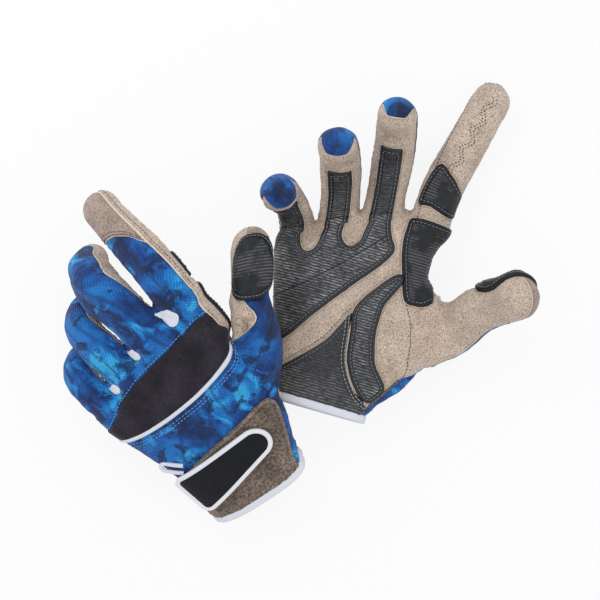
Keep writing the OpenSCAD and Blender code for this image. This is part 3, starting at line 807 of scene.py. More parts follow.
# %% Fields of the digits
def finger_fields(p):
    made = {}
    s, around, across, up = around_digit(1, p)
    made["seam1"] = up - 5.5 * ease(across / 7)
    line = np.array(INDEX_CAP, float)
    made["cap"] = (s - np.interp(across, line[:, 0], line[:, 1])) * 0.8
    patch = outline(np.stack([around, s], 1), INDEX_PATCH)
    made["index_patch"] = np.minimum(patch, -up - 1.5)
    for k in (2, 3, 4):
        s, around, across, up = around_digit(k, p)
        left = DIGITS[k]["len"] - s
        over_tip = {2: 5, 3: 8, 4: 9}[k] * ease((9 - left) / 9)
        over_tip -= 5 * ease((np.abs(across) - 5) / 4) * ease((14 - left) / 8)
        thumb_side = 0
        if k == 2:
            thumb_side = 1.5 * ease(across / 5) * ease((s - 30) / 15) * ease((left - 8) / 8)
        made[f"seam{k}"] = up + over_tip + thumb_side
    return made


def thumb_fields(p):
    made = {}
    s, around, across, up = around_digit(0, p)
    w, h = sections(DIGITS[0], s)
    # The suede reaches over the thumb's root in a round lobe, beside the index finger.
    made["seam0"] = up - 7 * np.exp(-((s - 32) / 9) ** 2) * ease(-across / 5)
    made["thumb_cap"] = s - 58
    # The thumb patch sits on the side that faces the index finger, 152 degrees round.
    round_it = np.degrees(np.arctan2(up / h, across / w)) % 360
    spots = np.stack([(round_it - 152) * math.pi / 180 * (w + h) / 2, s], 1)
    made["thumb_patch"] = outline(spots, THUMB_PATCH)
    return made


fields.update(finger_fields(points))
fields.update(thumb_fields(points))
print(len(fields), "fields on", len(points), "points")

# %% [markdown]
# Cutting along a seam must leave a clean edge, so every triangle that the zero
# line crosses is split on the line itself. Points that lie nearly on the line
# are moved onto it first, which avoids slivers.

# %% Cutting along the seams
SNAP = 0.14
# A patch is also cut just inside its edge, so that its rolled rim has its own points.
ROLL = 1.3
ROLL_LEVELS = (0.45, ROLL)
ROLLED = ("knuckle", "leather", "heel", "band", "web", "index_patch", "thumb_patch", "wrist")


def split_edges(value, tris):
    """Splits all triangles on the line value = 0. Returns pairs, weights, triangles."""
    sign = np.sign(value).astype(int)
    s = sign[tris]
    crossed = (s.max(1) > 0) & (s.min(1) < 0)
    kept, t, s = tris[~crossed], tris[crossed], s[crossed]
    # Turn each triangle so that its odd corner comes first.
    has_zero = (s == 0).any(1)
    alone = np.where(has_zero, np.argmax(s == 0, 1),
                     np.argmax(s == -np.sign(s.sum(1))[:, None], 1))
    rows = np.arange(len(t))
    a, b, c = (t[rows, (alone + i) % 3] for i in range(3))
    n = len(value)
    first = np.where(has_zero, b, a)
    pairs = np.sort(np.vstack([np.stack([first, np.where(has_zero, c, b)], 1),
                               np.stack([c, a], 1)[~has_zero]]), 1)
    unique, back = np.unique(pairs, axis=0, return_inverse=True)
    back = back.ravel() + n
    m1 = back[:len(t)]
    m2 = np.zeros(len(t), int)
    m2[~has_zero] = back[len(t):]
    z = has_zero
    new = [np.stack([a[z], b[z], m1[z]], 1), np.stack([a[z], m1[z], c[z]], 1),
           np.stack([a[~z], m1[~z], m2[~z]], 1), np.stack([m1[~z], b[~z], c[~z]], 1),
           np.stack([m1[~z], c[~z], m2[~z]], 1)]
    va, vb = value[unique[:, 0]], value[unique[:, 1]]
    return unique, va / (va - vb), np.vstack([kept] + new)


def cut(name, level=0.0):
    global points, tris, fields
    value = fields[name] - level
    value = np.where(np.abs(value) < SNAP, 0, value)
    pairs, weight, tris = split_edges(value, tris)
    i, j = pairs.T
    w = weight[:, None]
    points = np.vstack([points, points[i] * (1 - w) + points[j] * w])
    for key, field in fields.items():
        fields[key] = np.concatenate([field, field[i] * (1 - weight) + field[j] * weight])
    if level == 0:
        old = len(value)
        fields[name][:old] = value
        fields[name][old:] = 0


for name in fields:
    cut(name)
for name in ROLLED:
    for level in ROLL_LEVELS:
        cut(name, level)
print("after cutting:", len(points), "points and", len(tris), "triangles")

# %% [markdown]
# Now each triangle gets the name of its panel: first the digit or the hand,
# then the patch that lies on top, then the side of the seam.

# %% Naming the panels
# The back's knit is in two panels, below and above this height.
KNUCKLE_ROW = 88
middle = {name: field[tris].mean(1) for name, field in fields.items()}
label = np.full(len(tris), "", dtype="U24")
back = middle["side"] > 0
above = points[tris].mean(1)[:, 1] > KNUCKLE_ROW


def name_panel(where, name):
    label[where & (label == "")] = name


name_panel(middle["cuff"] < 0, "waste")
for k in range(5):
    here = middle[f"digit{k}"] > 0
    upper = here & (middle[f"seam{k}"] > 0)
    if k == 0:
        name_panel(here & (middle["thumb_patch"] > 0), "thumb_patch")
        name_panel(upper & (middle["thumb_cap"] > 0), "thumb_tip_cap")
    if k == 1:
        name_panel(here & ~upper & (middle["index_patch"] > 0), "index_patch")
        name_panel(upper & (middle["cap"] > 0), "index_tip_cap")
    if k > 1:
        name_panel(here & ~upper & (middle["leather"] > 0), NAMES[k] + "_strip")
    name_panel(upper, NAMES[k] + "_back")
    name_panel(here, NAMES[k] + "_palm")
name_panel(back & (middle["wrist"] > 0), "wrist_loop_patch")
name_panel(back & (middle["knuckle"] > 0), "knuckle_panel")
name_panel(back & above & (middle["gusset"] > 0), "fourchettes")
name_panel(back & above, "finger_back_panel")
name_panel(back, "back_panel")
name_panel(middle["leather"] > 0, "palm_patch")
for name in ("heel", "band", "web"):
    name_panel(middle[name] > 0, name + "_patch")
name_panel(label == "", "palm_panel")
panels = [name for name in np.unique(label) if name != "waste"]
for name in panels:
    print(name, (label == name).sum(), "triangles")

# %% [markdown]
# Cloth is never quite even. Smooth random heights, made of a few waves in
# random directions, give it small hills; the same seed gives the same hills on
# every run.

# %% Smooth random heights
rng = np.random.default_rng(7)


def make_waves(count=28):
    direction = rng.normal(size=(count, 3))
    direction /= np.linalg.norm(direction, axis=1)[:, None]
    return direction * rng.uniform(0.6, 1.5, count)[:, None], rng.uniform(0, 2 * math.pi, count)


WAVES = [make_waves() for _ in range(6)]


def lumps(p, size, which=0):
    """Smooth random heights, about -1 to 1, with hills about size mm apart."""
    direction, phase = WAVES[which]
    waves = np.sin(p @ direction.T * (2 * math.pi / size) + phase)
    return waves.sum(1) / math.sqrt(len(phase) / 2) * 0.6


print(len(WAVES), "sets of waves, heights up to", lumps(points, 24).max().round(2))

# %% [markdown]
# A seam pulls a groove and short puckers, and a sewn-on patch has a rolled
# edge, so every point of a panel needs its distance to the panel's rim. The
# rim is made of the edges that only one of the panel's triangles has.

# %% Rims of the panels
def rims():
    """Each panel's points, triangles and rim, and each point's distance to the rim."""
    made = {}
    for name in panels:
        own = tris[label == name]
        used, local = np.unique(own, return_inverse=True)
        local = local.reshape(-1, 3)
        edges = np.vstack([local[:, [0, 1]], local[:, [1, 2]], local[:, [2, 0]]])
        keys = np.sort(edges, 1) @ np.array([len(used), 1])
        unique, first, count = np.unique(keys, return_index=True, return_counts=True)
        rim = edges[first[count == 1]]
        tree = kdtree.KDTree(len(rim))
        spots = points[used]
        for n, i in enumerate(rim[:, 0]):
            tree.insert(spots[i], n)
        tree.balance()
        far = np.array([tree.find(spot)[2] for spot in spots])
        far[rim.ravel()] = 0
        made[name] = dict(used=used, tris=local, rim=rim, far=far)
    return made


PIECES = rims()
widest = max(piece["far"].max() for piece in PIECES.values())
print("the widest panel reaches", round(widest), "mm from its rim")

# %% [markdown]
# A bent finger creases on its inner side, across each joint: a few ripples
# that die away on both sides of it, and that the random heights break up.

# %% Creases
def creases(k, pose, p):
    """Folds across the inner side of a bent digit, at its three joints."""
    d = DIGITS[k]
    s, across, up = digit_place(d, p)
    w, h = sections(d, s)
    inner = ease(0.4 - up / h * 0.9)
    total = np.zeros(len(p))
    # Where each joint creases, by which bend, and how deep.
    for at, bend_angle, deepest in ((6, pose[2], 0.55), (MIDDLE_JOINT * d["len"], pose[3], 0.55),
                                    (OUTER_JOINT * d["len"], pose[4], 1.1)):
        depth = deepest * np.clip(bend_angle / 32, 0, 1)
        ripple = np.cos(2 * math.pi * (s - at + 1.6 * lumps(p, 9, 1)) / 4.6)
        total += depth * np.exp(-((s - at) / 7.5) ** 2) * ripple
    return total * inner


def bump(value, centre, reach):
    """1 at the centre, falling smoothly to 0 at reach on both sides."""
    return ease(1 - np.abs(value - centre) / reach)


print("the left middle finger creases by", creases(2, LEFT_POSE[2], points).max().round(2), "mm")

# %% [markdown]
# The cloth stands off the hand in some places and is drawn to it in others: at
# the web by the thumb, along the fingers' sides, at the hand's edge. A cloth
# simulation could find some of this, but would need its seams added later.
# Here each point moves along its normal by a sum of such forms, the same for
# neighbouring panels, so no seam opens.

# %% Slack
def left_slack(p, on, share, near_index):
    x, y, z = p.T
    s, across, up = on[0]
    total = 1.6 * near_index * bump(s, 34, 34) * ease(1.3 - np.abs(up + 2) / 14)
    # The hollow in the suede lobe beside the thumb, and the thumb's slim sides.
    total -= 8 * near_index * np.exp(-((s - 28) / 4.5) ** 2 - ((up - 0.5) / 3.5) ** 2)
    total -= 2.4 * ease((s - 30) / 16) * ease(np.abs(across) / 9) * share[:, 0]
    # The hand's edge below the index finger, that finger's outer side, and the middle finger's.
    total += (3.0 * ease((x - 40) / 10) * bump(y, 100, 26) * ease(1.2 - np.abs(z) / 14)
              * (1 - share[:, 0]))
    s, across, up = on[1]
    total += (2.2 * ease((x - 38) / 10) * ease(across / 8) * bump(s, 22, 52)
              * ease(1.1 - np.abs(z) / 16))
    s, across, up = on[2]
    return total + 5.5 * ease((across + 1) / 9) * bump(s, 42, 40) * share[:, 2]


def right_slack(p, on, share, near_index):
    x, y, z = p.T
    s, across, up = on[0]
    # The web beside the thumb, the thumb's outer side, and the heel of the hand.
    total = 4.0 * near_index * bump(s, 40, 24) * ease(1.3 - np.abs(up + 2) / 14)
    total -= 3.2 * ease(across / 8) * bump(s, 42, 28) * share[:, 0]
    total += 4.2 * ease((x - 28) / 12) * bump(y, 34, 32) * ease((z + 7) / 6) * (1 - share[:, 0])
    for k, size in ((3, 1.0), (4, 1.6)):
        total += size * ease((on[k][0] - 16) / 14) * share[:, k]
    s, across, up = on[2]
    return total - 2.4 * ease(across / 8) * bump(s, 10, 24) * ease((28 - x) / 5)


def slack(side, p):
    """Where the cloth stands off the hand, or is drawn to it: the same for all panels."""
    on = [digit_place(d, p) for d in DIGITS]
    across = on[0][1]
    near_index = ease(-across / 9) * ease((across + 34) / 8)
    return (left_slack if side == "left" else right_slack)(p, on, shares(p), near_index)


for side in GLOVES:
    moved = slack(side, points)
    print(side, "cloth moves by", moved.min().round(1), "to", moved.max().round(1), "mm")

# %% [markdown]
# On top of that each panel has its own relief: a patch stands up with a rolled
# edge, a plain panel sinks a little at its seams and puckers beside them, and
# the thumb's patch has a pad under its middle.

# %% Relief of each panel
PATCH_HEIGHT = {"knuckle_panel": 1.1, "wrist_loop_patch": 1.0, "palm_patch": 0.9, "heel_patch": 1.0,
                "band_patch": 1.5, "web_patch": 1.2, "index_patch": 1.1, "thumb_patch": 1.9,
                "fourchettes": 0.5, "middle_strip": 0.9, "ring_strip": 0.9, "little_strip": 0.9}


def relief(name, side):
    """Height of the cloth over the plain hand at each point of a panel."""
    piece = PIECES[name]
    p, far = points[piece["used"]], piece["far"]
    k = digit_of(name)
    soft = 0.28 * lumps(p, 24, 2) + 0.16 * lumps(p, 9, 3)
    if name in PATCH_HEIGHT:
        top = PATCH_HEIGHT[name]
        edge = np.sqrt(1 - (1 - np.clip(far / ROLL, 0, 1)) ** 2)
        height = top * (0.3 + 0.7 * edge) + soft * ease(far / 4)
    else:
        groove = -0.4 * np.exp(-(far / 1.3) ** 2)
        puckers = 0.3 * np.exp(-far / 2.6) * lumps(p, 4.2, 4) * ease(far / 0.8)
        height = groove + 0.35 * ease(far / 9) + soft * ease(far / 5) + puckers
    if k is not None:
        height = height + creases(k, GLOVES[side]["pose"][k], p) * ease(far / 2.5)
    if name == "thumb_patch":
        height = height + 0.9 * ease((far - 3.4) / 1.6)
    return height + slack(side, p)


for side, glove in GLOVES.items():
    glove["height"] = np.full(len(points), -1.0)
    for name in panels:
        used = PIECES[name]["used"]
        glove["height"][used] = np.maximum(glove["height"][used], relief(name, side))
print("relief for", len(PIECES), "panels on", len(GLOVES), "gloves")

# %% [markdown]
# A panel carries three sets of numbers for its material: where it was on the
# flat hand, for the printed pattern, its threads' own directions, for the
# weave, and how far each point lies from a seam, for the shading beside it.

# %% Numbers for the materials
EDGE_FIELD = {"palm_patch": "leather", "middle_strip": "leather", "ring_strip": "leather",
              "little_strip": "leather", "heel_patch": "heel", "band_patch": "band",
              "web_patch": "web", "index_patch": "index_patch", "thumb_patch": "thumb_patch"}


def give_numbers(mesh, **layers):
    """Stores numbers on a mesh's points, for its material to read."""
    for key, value in layers.items():
        value = np.asarray(value, np.float32)
        kind, field = ("FLOAT_VECTOR", "vector") if value.ndim == 2 else ("FLOAT", "value")
        mesh.attributes.new(key, kind, "POINT").data.foreach_set(field, value.ravel())


def edge_of(name):
    """How far each point of a panel lies inside its own edge, in mm."""
    used = PIECES[name]["used"]
    if name in EDGE_FIELD:
        return fields[EDGE_FIELD[name]][used]
    k = digit_of(name)
    if k is None:
        seams = ["side", "leather", "heel", "band", "web", "knuckle", "wrist", "gusset"]
    else:
        seams = [f"seam{k}", ("thumb_patch", "index_patch", "leather", "leather", "leather")[k]]
        if name == "index_tip_cap":
            seams[1] = "cap"
    if name == "palm_panel":
        seams = seams[:5]
    return np.min([np.abs(fields[seam][used]) for seam in seams], 0)


def weave_of(name):
    p = points[PIECES[name]["used"]]
    k = digit_of(name)
    if k is None:
        return np.stack([p[:, 0], p[:, 1], 0 * p[:, 0]], 1)
    s, around, across, up = around_digit(k, p)
    return np.stack([around, s + DIGITS[k]["o"][1], 0 * s], 1)


print("the palm patch reaches", edge_of("palm_patch").max().round(1), "mm from its edge")

# %% [markdown]
# A piece of the hand simply rides on the hand's body. A piece of a digit
# crosses a joint; where a blend from the hand to the digit would start and end
# is worked out, but no blend is made, and the piece keeps its place with its
# transform baked in.

# %% How a piece moves
# Where a blend from the hand to a digit would start and end along the digit, in mm; no blend is
# made.
ANCHORS = (3, 16)


def axis_point(side, k, s):
    """A point of digit k's bent middle line, s mm from its root, in metres."""
    d = DIGITS[k]
    h = math.radians(d["heading"])
    straight = np.array([[d["o"][0] + math.sin(h) * (s + ROOT_GAP),
                          d["o"][1] + math.cos(h) * (s + ROOT_GAP), 0]])
    laid = lay_along(d, GLOVES[side]["pose"][k], straight)
    if k == 0:
        laid[:, 0] -= GLOVES[side]["tuck"]
    return place(side, laid)[0] * MM


def carry(thing, side, k):
    """A piece of the hand rides on it; a piece of a digit only has its transform baked in."""
    if k is None:
        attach(thing, side + "_hand")
    else:
        start, end = (tuple(axis_point(side, k, s)) for s in ANCHORS)
        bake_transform(thing)


print("the left index finger turns near", [round(x, 3) for x in axis_point("left", 1, ANCHORS[0])])

# %% [markdown]
# Each panel becomes a closed shell: its outer face with the relief, an inner
# face about a millimetre below, and a wall round the rim. The right glove is
# turned over like a mirror image, so its faces are turned too.

# %% Panels as shells
# How deep the inner face lies, and the angle above which an edge stays hard.
SHELL, HARD_ANGLE = 1.2, 62


def normals_of(spots):
    a, b, c = (spots[tris[:, i]] for i in range(3))
    face = np.cross(b - a, c - a)
    normal = np.zeros_like(spots)
    for i in range(3):
        np.add.at(normal, tris[:, i], face)
    return normal / np.linalg.norm(normal, axis=1)[:, None].clip(1e-9)


def shell_object(name, outer, inner, faces, rim, cloth, weave, edge):
    n = len(outer)
    a, b = rim.T
    wall = np.vstack([np.stack([b, a, a + n], 1), np.stack([b, a + n, b + n], 1)])
    verts = np.vstack([outer, inner]) * MM
    faces = np.vstack([faces, faces[:, ::-1] + n, wall])
    mesh = bpy.data.meshes.new(name)
    mesh.from_pydata(verts.tolist(), [], faces.tolist())
    give_numbers(mesh, cloth=np.vstack([cloth, cloth]), weave=np.vstack([weave, weave]),
                 edge=np.concatenate([edge, edge]))
    mesh.shade_smooth()
    mesh.set_sharp_from_angle(angle=math.radians(HARD_ANGLE))
    return into_scene(name, mesh)


share = shares(points)
panel_objects = {}
for side, glove in GLOVES.items():
    turned = side == "right"
    glove["skin"] = worn(side, points, share)
    glove["normal"] = normals_of(glove["skin"]) * (-1 if turned else 1)
    for name in panels:
        piece = PIECES[name]
        used = piece["used"]
        skin, normal = glove["skin"][used], glove["normal"][used]
        outer = skin + normal * relief(name, side)[:, None]
        lining = np.minimum(slack(side, points[used]), 0) - SHELL
        inner = skin + normal * lining[:, None]
        order = slice(None, None, -1 if turned else 1)
        panel_objects[side, name] = shell_object(
            side + "_" + name, outer, inner, piece["tris"][:, order], piece["rim"][:, order],
            points[used], weave_of(name), edge_of(name))
print(len(panel_objects), "panels made")

# %% [markdown]
# A material is a small graph of nodes. These helpers keep the graphs short:
# one adds a node and fills its sockets, one reads the numbers that the panels
# carry, and one turns a height into a bump of a given depth.

# %% Helpers for materials
BLACK, WHITE = (0, 0, 0), (1, 1, 1)
FINISHES = {}


def grey(value):
    return (value, value, value)


class Finish:
    """One material while it is being put together."""

    def __init__(self, name, roughness, specular=0.5, **sockets):
        self.name = name
        self.material = bpy.data.materials.new(name)
        self.material.use_nodes = True
        self.tree = self.material.node_tree
        self.surface = self.tree.nodes["Principled BSDF"]
        self.surface.inputs["Roughness"].default_value = roughness
        self.surface.inputs["Specular IOR Level"].default_value = specular
        for socket, value in sockets.items():
            self.surface.inputs[socket.replace("_", " ")].default_value = value

    def put(self, node, socket, value):
        """Links a socket to another node's output, or sets its value."""
        if isinstance(value, bpy.types.NodeSocket):
            self.tree.links.new(value, node.inputs[socket])
        else:
            node.inputs[socket].default_value = value

    def add(self, kind, inputs=None, **settings):
        node = self.tree.nodes.new("ShaderNode" + kind)
        for key, value in settings.items():
            setattr(node, key, value)
        for socket, value in (inputs or {}).items():
            self.put(node, socket, value)
        return node

    def on(self, layer):
        """The numbers that the panels carry: cloth or weave."""
        return self.add("Attribute", attribute_name=layer).outputs["Vector"]

    def near_edge(self, start, end):
        """1 at the panel's edge, falling from start to 0 at end, in mm."""
        far = self.add("Attribute", attribute_name="edge").outputs["Fac"]
        fall = {"Value": far, "From Min": start, "From Max": end, "To Min": 1.0, "To Max": 0.0}
        return self.add("MapRange", fall).outputs["Result"]

    def stretched(self, where, scale):
        return self.add("Mapping", {"Vector": where, "Scale": scale}).outputs["Vector"]

    def noise(self, where, scale, detail=4, roughness=0.55, distortion=0.0):
        look = {"Vector": where, "Scale": scale, "Detail": detail, "Roughness": roughness,
                "Distortion": distortion}
        return self.add("TexNoise", look).outputs["Fac"]

    def bands(self, where, period, along="X", distortion=0.0, detail=1.0):
        """Soft bands, period mm apart."""
        look = {"Vector": where, "Scale": 0.31416 / period, "Distortion": distortion,
                "Detail": detail, "Detail Scale": 1.2}
        return self.add("TexWave", look, bands_direction=along).outputs["Fac"]

    def dots(self, where, scale, randomness):
        look = {"Vector": where, "Scale": scale, "Randomness": randomness}
        return self.add("TexVoronoi", look).outputs["Distance"]

    def ramp(self, value, stops):
        node = self.add("ValToRGB", {"Fac": value})
        elements = node.color_ramp.elements
        while len(elements) < len(stops):
            elements.new(0.5)
        for element, (at, colour) in zip(elements, stops):
            element.position = at
            element.color = (*colour, 1)
        return node.outputs["Color"]

    def step(self, value, low, high):
        """Black below low, white above high."""
        return self.ramp(value, [(low, BLACK), (high, WHITE)])

    def blend(self, share, a, b, kind="MIX"):
        node = self.add("Mix", data_type="RGBA", blend_type=kind)
        self.put(node, 0, share)
        for socket, colour in ((6, a), (7, b)):
            self.put(node, socket, (*colour, 1) if isinstance(colour, tuple) else colour)
        return node.outputs[2]

    def maths(self, kind, a, b=0.0):
        return self.add("Math", {0: a, 1: b}, operation=kind).outputs[0]

    def bump(self, height, depth, strength=1.0):
        """A bump that is depth mm deep."""
        form = {"Height": height, "Distance": depth * MM, "Strength": strength}
        return self.add("Bump", form).outputs["Normal"]

    def done(self, colour=None, normal=None, roughness=None):
        """Joins the graph to the surface and lists the finish."""
        for socket, value in (("Base Color", colour), ("Normal", normal), ("Roughness", roughness)):
            if value is not None:
                self.tree.links.new(value, self.surface.inputs[socket])
        FINISHES[self.name] = self.material


print("helpers:", *[key for key in vars(Finish) if not key.startswith("_")])

# %% [markdown]
# The back is a stretch knit with a mottled sea print, from navy to light blue.
# The print is a ground of noise with light splashes and nearly black spots on
# it. It is laid on the flat hand, so it runs on from panel to panel as on one
# cloth. Fine ribs and slanting rows of loops follow the digits, with painted
# shade between them, and shade is painted on the cloth where it dips into a
# seam.

# %% Blue knit
NAVY = (0.003, 0.016, 0.08)


def blue_knit():
    cloth = Finish("blue_knit", 0.75, 0.35, Sheen_Weight=0.1, Sheen_Roughness=0.5)
    flat, threads = cloth.on("cloth"), cloth.on("weave")
    ground = cloth.noise(flat, 0.05, 5, 0.58, 0.3)
    colour = cloth.ramp(ground, [(0.36, (0.003, 0.024, 0.12)), (0.45, (0.004, 0.06, 0.26)),
                                 (0.53, (0.005, 0.13, 0.47)), (0.62, (0.01, 0.23, 0.7))])
    # Light splashes with ragged edges, brighter in the middle, and a few nearly black ones.
    splash = cloth.noise(flat, 0.06, 6, 0.56, 0.5)
    colour = cloth.blend(cloth.step(splash, 0.52, 0.56), colour, (0.01, 0.26, 0.74))
    colour = cloth.blend(cloth.step(splash, 0.58, 0.63), colour, (0.04, 0.55, 1.0))
    dark = cloth.ramp(cloth.noise(flat, 0.085, 6, 0.6, 0.3), [(0.42, WHITE), (0.46, BLACK)])
    colour = cloth.blend(cloth.maths("MULTIPLY", dark, 0.8), colour, NAVY)
    ribs = cloth.bands(threads, 1.15, "X", 0.6, 2)
    rows = cloth.bands(threads, 0.95, "DIAGONAL", 0.6, 2)
    loops = cloth.maths("MULTIPLY", ribs, rows)
    # Painted shade between the ribs and the rows of loops.
    shade = cloth.ramp(loops, [(0.0, (0.42, 0.48, 0.56)), (0.5, WHITE)])
    colour = cloth.blend(0.8, colour, shade, "MULTIPLY")
    # Shade is painted on the cloth where it dips into a seam.
    painted_seam_shade = cloth.maths("MULTIPLY", cloth.near_edge(0.2, 1.6), 0.5)
    colour = cloth.blend(painted_seam_shade, colour, NAVY)
    height = cloth.maths("ADD", ribs, cloth.maths("MULTIPLY", rows, 0.6))
    cloth.done(colour, cloth.bump(height, 0.28, 0.9))


blue_knit()
print("blue knit with", len(FINISHES["blue_knit"].node_tree.nodes), "nodes")

# %% [markdown]
# The palm is synthetic suede: a matt nap, light taupe, with fine darker
# specks. Soft clouds of a darker tone show its wear. Beside a seam the cut
# edge shows as a pale line with a shadow behind it. The back of the index
# finger and of the thumb has a browner suede.

# %% Suede
def suede(name, light, dark):
    nap = Finish(name, 0.93, 0.2, Sheen_Weight=0.2, Sheen_Roughness=0.45)
    flat = nap.on("cloth")
    colour = nap.ramp(nap.noise(flat, 0.06, 5, 0.62), [(0.34, dark), (0.6, light)])
    specks = nap.noise(flat, 1.1, 5, 0.85)
    speckle = nap.ramp(specks, [(0.4, (0.2, 0.17, 0.15)), (0.5, (0.86, 0.84, 0.82)),
                                (0.58, WHITE)])
    colour = nap.blend(0.9, colour, speckle, "MULTIPLY")
    shadow = nap.maths("MULTIPLY", nap.near_edge(0.7, 1.8), 0.4)
    colour = nap.blend(shadow, colour, tuple(0.35 * c for c in dark))
    colour = nap.blend(nap.near_edge(0.4, 0.7), colour, tuple(1.05 * c for c in light))
    height = nap.maths("ADD", nap.noise(flat, 1.3, 4, 0.8), nap.noise(flat, 0.35, 3, 0.6))
    nap.done(colour, nap.bump(height, 0.45, 0.9))


suede("suede", (0.82, 0.67, 0.55), (0.64, 0.51, 0.41))
suede("back_suede", (0.6, 0.47, 0.4), (0.42, 0.32, 0.26))
print("2 suedes")

# %% [markdown]
# The grip patches are black leather. On the palm and the fingers it is pressed
# into fine ridges across the hand, whose tops carry painted highlights, stronger
# in some patches than in others. On the patches that take the rope it is
# smooth, with a fine grain and here and there the marks of a pull, whose ridges
# carry painted highlights too. The border of every patch is pressed flat, with
# a groove in which the stitches lie.

# %% Black leather
# The border's width and the stitching groove's edges, in mm from the patch's edge.
BORDER, BORDER_FADE = 3.1, 0.5
GROOVE_NEAR, GROOVE_FAR = (1.6, 2.0), (2.5, 2.9)


def with_rim(hide, colour, height, rough):
    """Presses a hide's border smooth and black, with the stitching groove in it."""
    border = hide.near_edge(BORDER, BORDER + BORDER_FADE)
    colour = hide.blend(border, colour, (0.008, 0.009, 0.012))
    rough = hide.blend(border, rough, grey(0.36))
    outside_groove = hide.maths("SUBTRACT", 1.0, hide.near_edge(*GROOVE_NEAR))
    groove = hide.maths("MULTIPLY", hide.near_edge(*GROOVE_FAR), outside_groove)
    height = hide.maths("MULTIPLY", height, hide.maths("SUBTRACT", 1.0, border))
    height = hide.maths("SUBTRACT", height, hide.maths("MULTIPLY", groove, 0.5))
    hide.done(colour, hide.bump(height, 0.5, 0.9), rough)


def ridged_leather(name, light):
    """Black hide whose ridges' tops carry painted highlights, as light as asked."""
    hide = Finish(name, 0.45, 0.5)
    threads, flat = hide.on("weave"), hide.on("cloth")
    ridges = hide.bands(threads, 1.6, "Y", 2.2, 2.0)
    streaks = hide.noise(hide.stretched(threads, (0.34, 1.1, 1)), 0.8, 4, 0.75)
    patchy_part = hide.ramp(hide.noise(flat, 0.035, 2), [(0.38, grey(0.45)), (0.6, WHITE)])
    height = hide.maths("MULTIPLY", ridges, hide.step(streaks, 0.36, 0.62))
    # The ridges' tops are painted light as highlights, unevenly from patch to patch.
    painted_highlight = hide.maths("MULTIPLY", height, patchy_part)
    colour = hide.ramp(painted_highlight, [(0.05, (0.012, 0.013, 0.016)), (0.3, grey(0.35 * light)),
                               (0.7, (light, light, light * 1.05))])
    rough = hide.ramp(streaks, [(0.3, grey(0.55)), (0.7, grey(0.4))])
    with_rim(hide, colour, height, rough)


def smooth_leather():
    hide = Finish("smooth_leather", 0.4, 0.28)
    flat, threads = hide.on("cloth"), hide.on("weave")
    pulls = hide.bands(threads, 1.7, "Y", 1.5, 2.0)
    where = hide.step(hide.noise(flat, 0.085, 3, 0.6), 0.46, 0.58)
    wrinkles_and_highlight = hide.maths("MULTIPLY", pulls, where)
    grain = hide.noise(flat, 0.5, 6, 0.72, 0.5)
    colour = hide.ramp(grain, [(0.34, (0.006, 0.007, 0.009)), (0.66, (0.02, 0.021, 0.025))])
    # The pull marks are painted lighter, as highlights on their ridges.
    colour = hide.blend(hide.maths("MULTIPLY", wrinkles_and_highlight, 0.55), colour, (0.2, 0.2, 0.215))
    rough = hide.ramp(grain, [(0.3, grey(0.5)), (0.7, grey(0.32))])
    height = hide.maths("ADD", hide.maths("MULTIPLY", wrinkles_and_highlight, 0.8),
                        hide.maths("MULTIPLY", grain, 0.8))
    with_rim(hide, colour, height, rough)


# The same ridged leather twice: the palm's copy has brighter painted highlights than the one for
# the strips and the heel.
ridged_leather("palm_leather", 0.5)
ridged_leather("strip_leather", 0.24)
smooth_leather()
print("3 leathers")

# %% [markdown]
# The other cloths: a dull stretch foam cloth over the knuckles, white woven
# tape for the cuff and the piping, and the brown loop pile that the strap
# holds on.

# %% Foam cloth, tape and pile
def neoprene():
    foam = Finish("neoprene", 0.8, 0.3, Sheen_Weight=0.35, Sheen_Roughness=0.35)
    threads, flat = foam.on("weave"), foam.on("cloth")
    knit = foam.maths("ADD", foam.bands(threads, 1.0, "X", 0.4),
                      foam.bands(threads, 1.0, "Y", 0.4))
    # The lighter clouds are partly the foam's own uneven tone and partly painted sheen.
    colour = foam.ramp(foam.noise(flat, 0.06, 3), [(0.35, (0.012, 0.01, 0.016)),
                                                  (0.65, (0.042, 0.034, 0.05))])
    flecks = foam.ramp(foam.noise(flat, 0.8, 4, 0.85), [(0.4, (0.3, 0.27, 0.3)), (0.6, WHITE)])
    colour = foam.blend(0.9, colour, flecks, "MULTIPLY")
    foam.done(colour, foam.bump(knit, 0.1, 0.6))


def woven_tape(name, colour, shade, period=0.8):
    tape = Finish(name, 0.8, 0.3)
    twill = tape.bands(tape.on("weave"), period, "DIAGONAL", 0.2)
    dirt = tape.noise(tape.on("cloth"), 0.3, 4)
    # The twill's hollows are painted with shade: between its ribs the tape takes the shade colour.
    mixed = tape.blend(tape.maths("MULTIPLY", twill, 0.5), shade, colour)
    mixed = tape.blend(tape.maths("MULTIPLY", dirt, 0.25), mixed, shade)
    tape.done(mixed, tape.bump(twill, 0.12, 0.6))


def loop_pile():
    pile = Finish("loop_pile", 0.95, 0.15, Sheen_Weight=0.3, Sheen_Roughness=0.5)
    flat = pile.on("cloth")
    loops, fuzz = pile.dots(flat, 0.95, 1.0), pile.noise(flat, 2.2, 3, 0.8)
    height = pile.maths("ADD", loops, pile.maths("MULTIPLY", fuzz, 0.7))
    tufts = pile.noise(flat, 0.6, 5, 0.75)
    colour = pile.ramp(tufts, [(0.34, (0.06, 0.042, 0.032)), (0.5, (0.225, 0.168, 0.13)),
                               (0.66, (0.44, 0.345, 0.275))])
    patchy_part = pile.ramp(pile.noise(flat, 0.07, 3), [(0.4, grey(0.62)), (0.62, WHITE)])
    colour = pile.blend(1.0, colour, patchy_part, "MULTIPLY")
    pile.done(colour, pile.bump(height, 0.35, 0.9))


neoprene()
woven_tape("white_tape", (0.95, 0.95, 0.97), (0.74, 0.75, 0.82))
loop_pile()
print(len(FINISHES), "finishes so far")

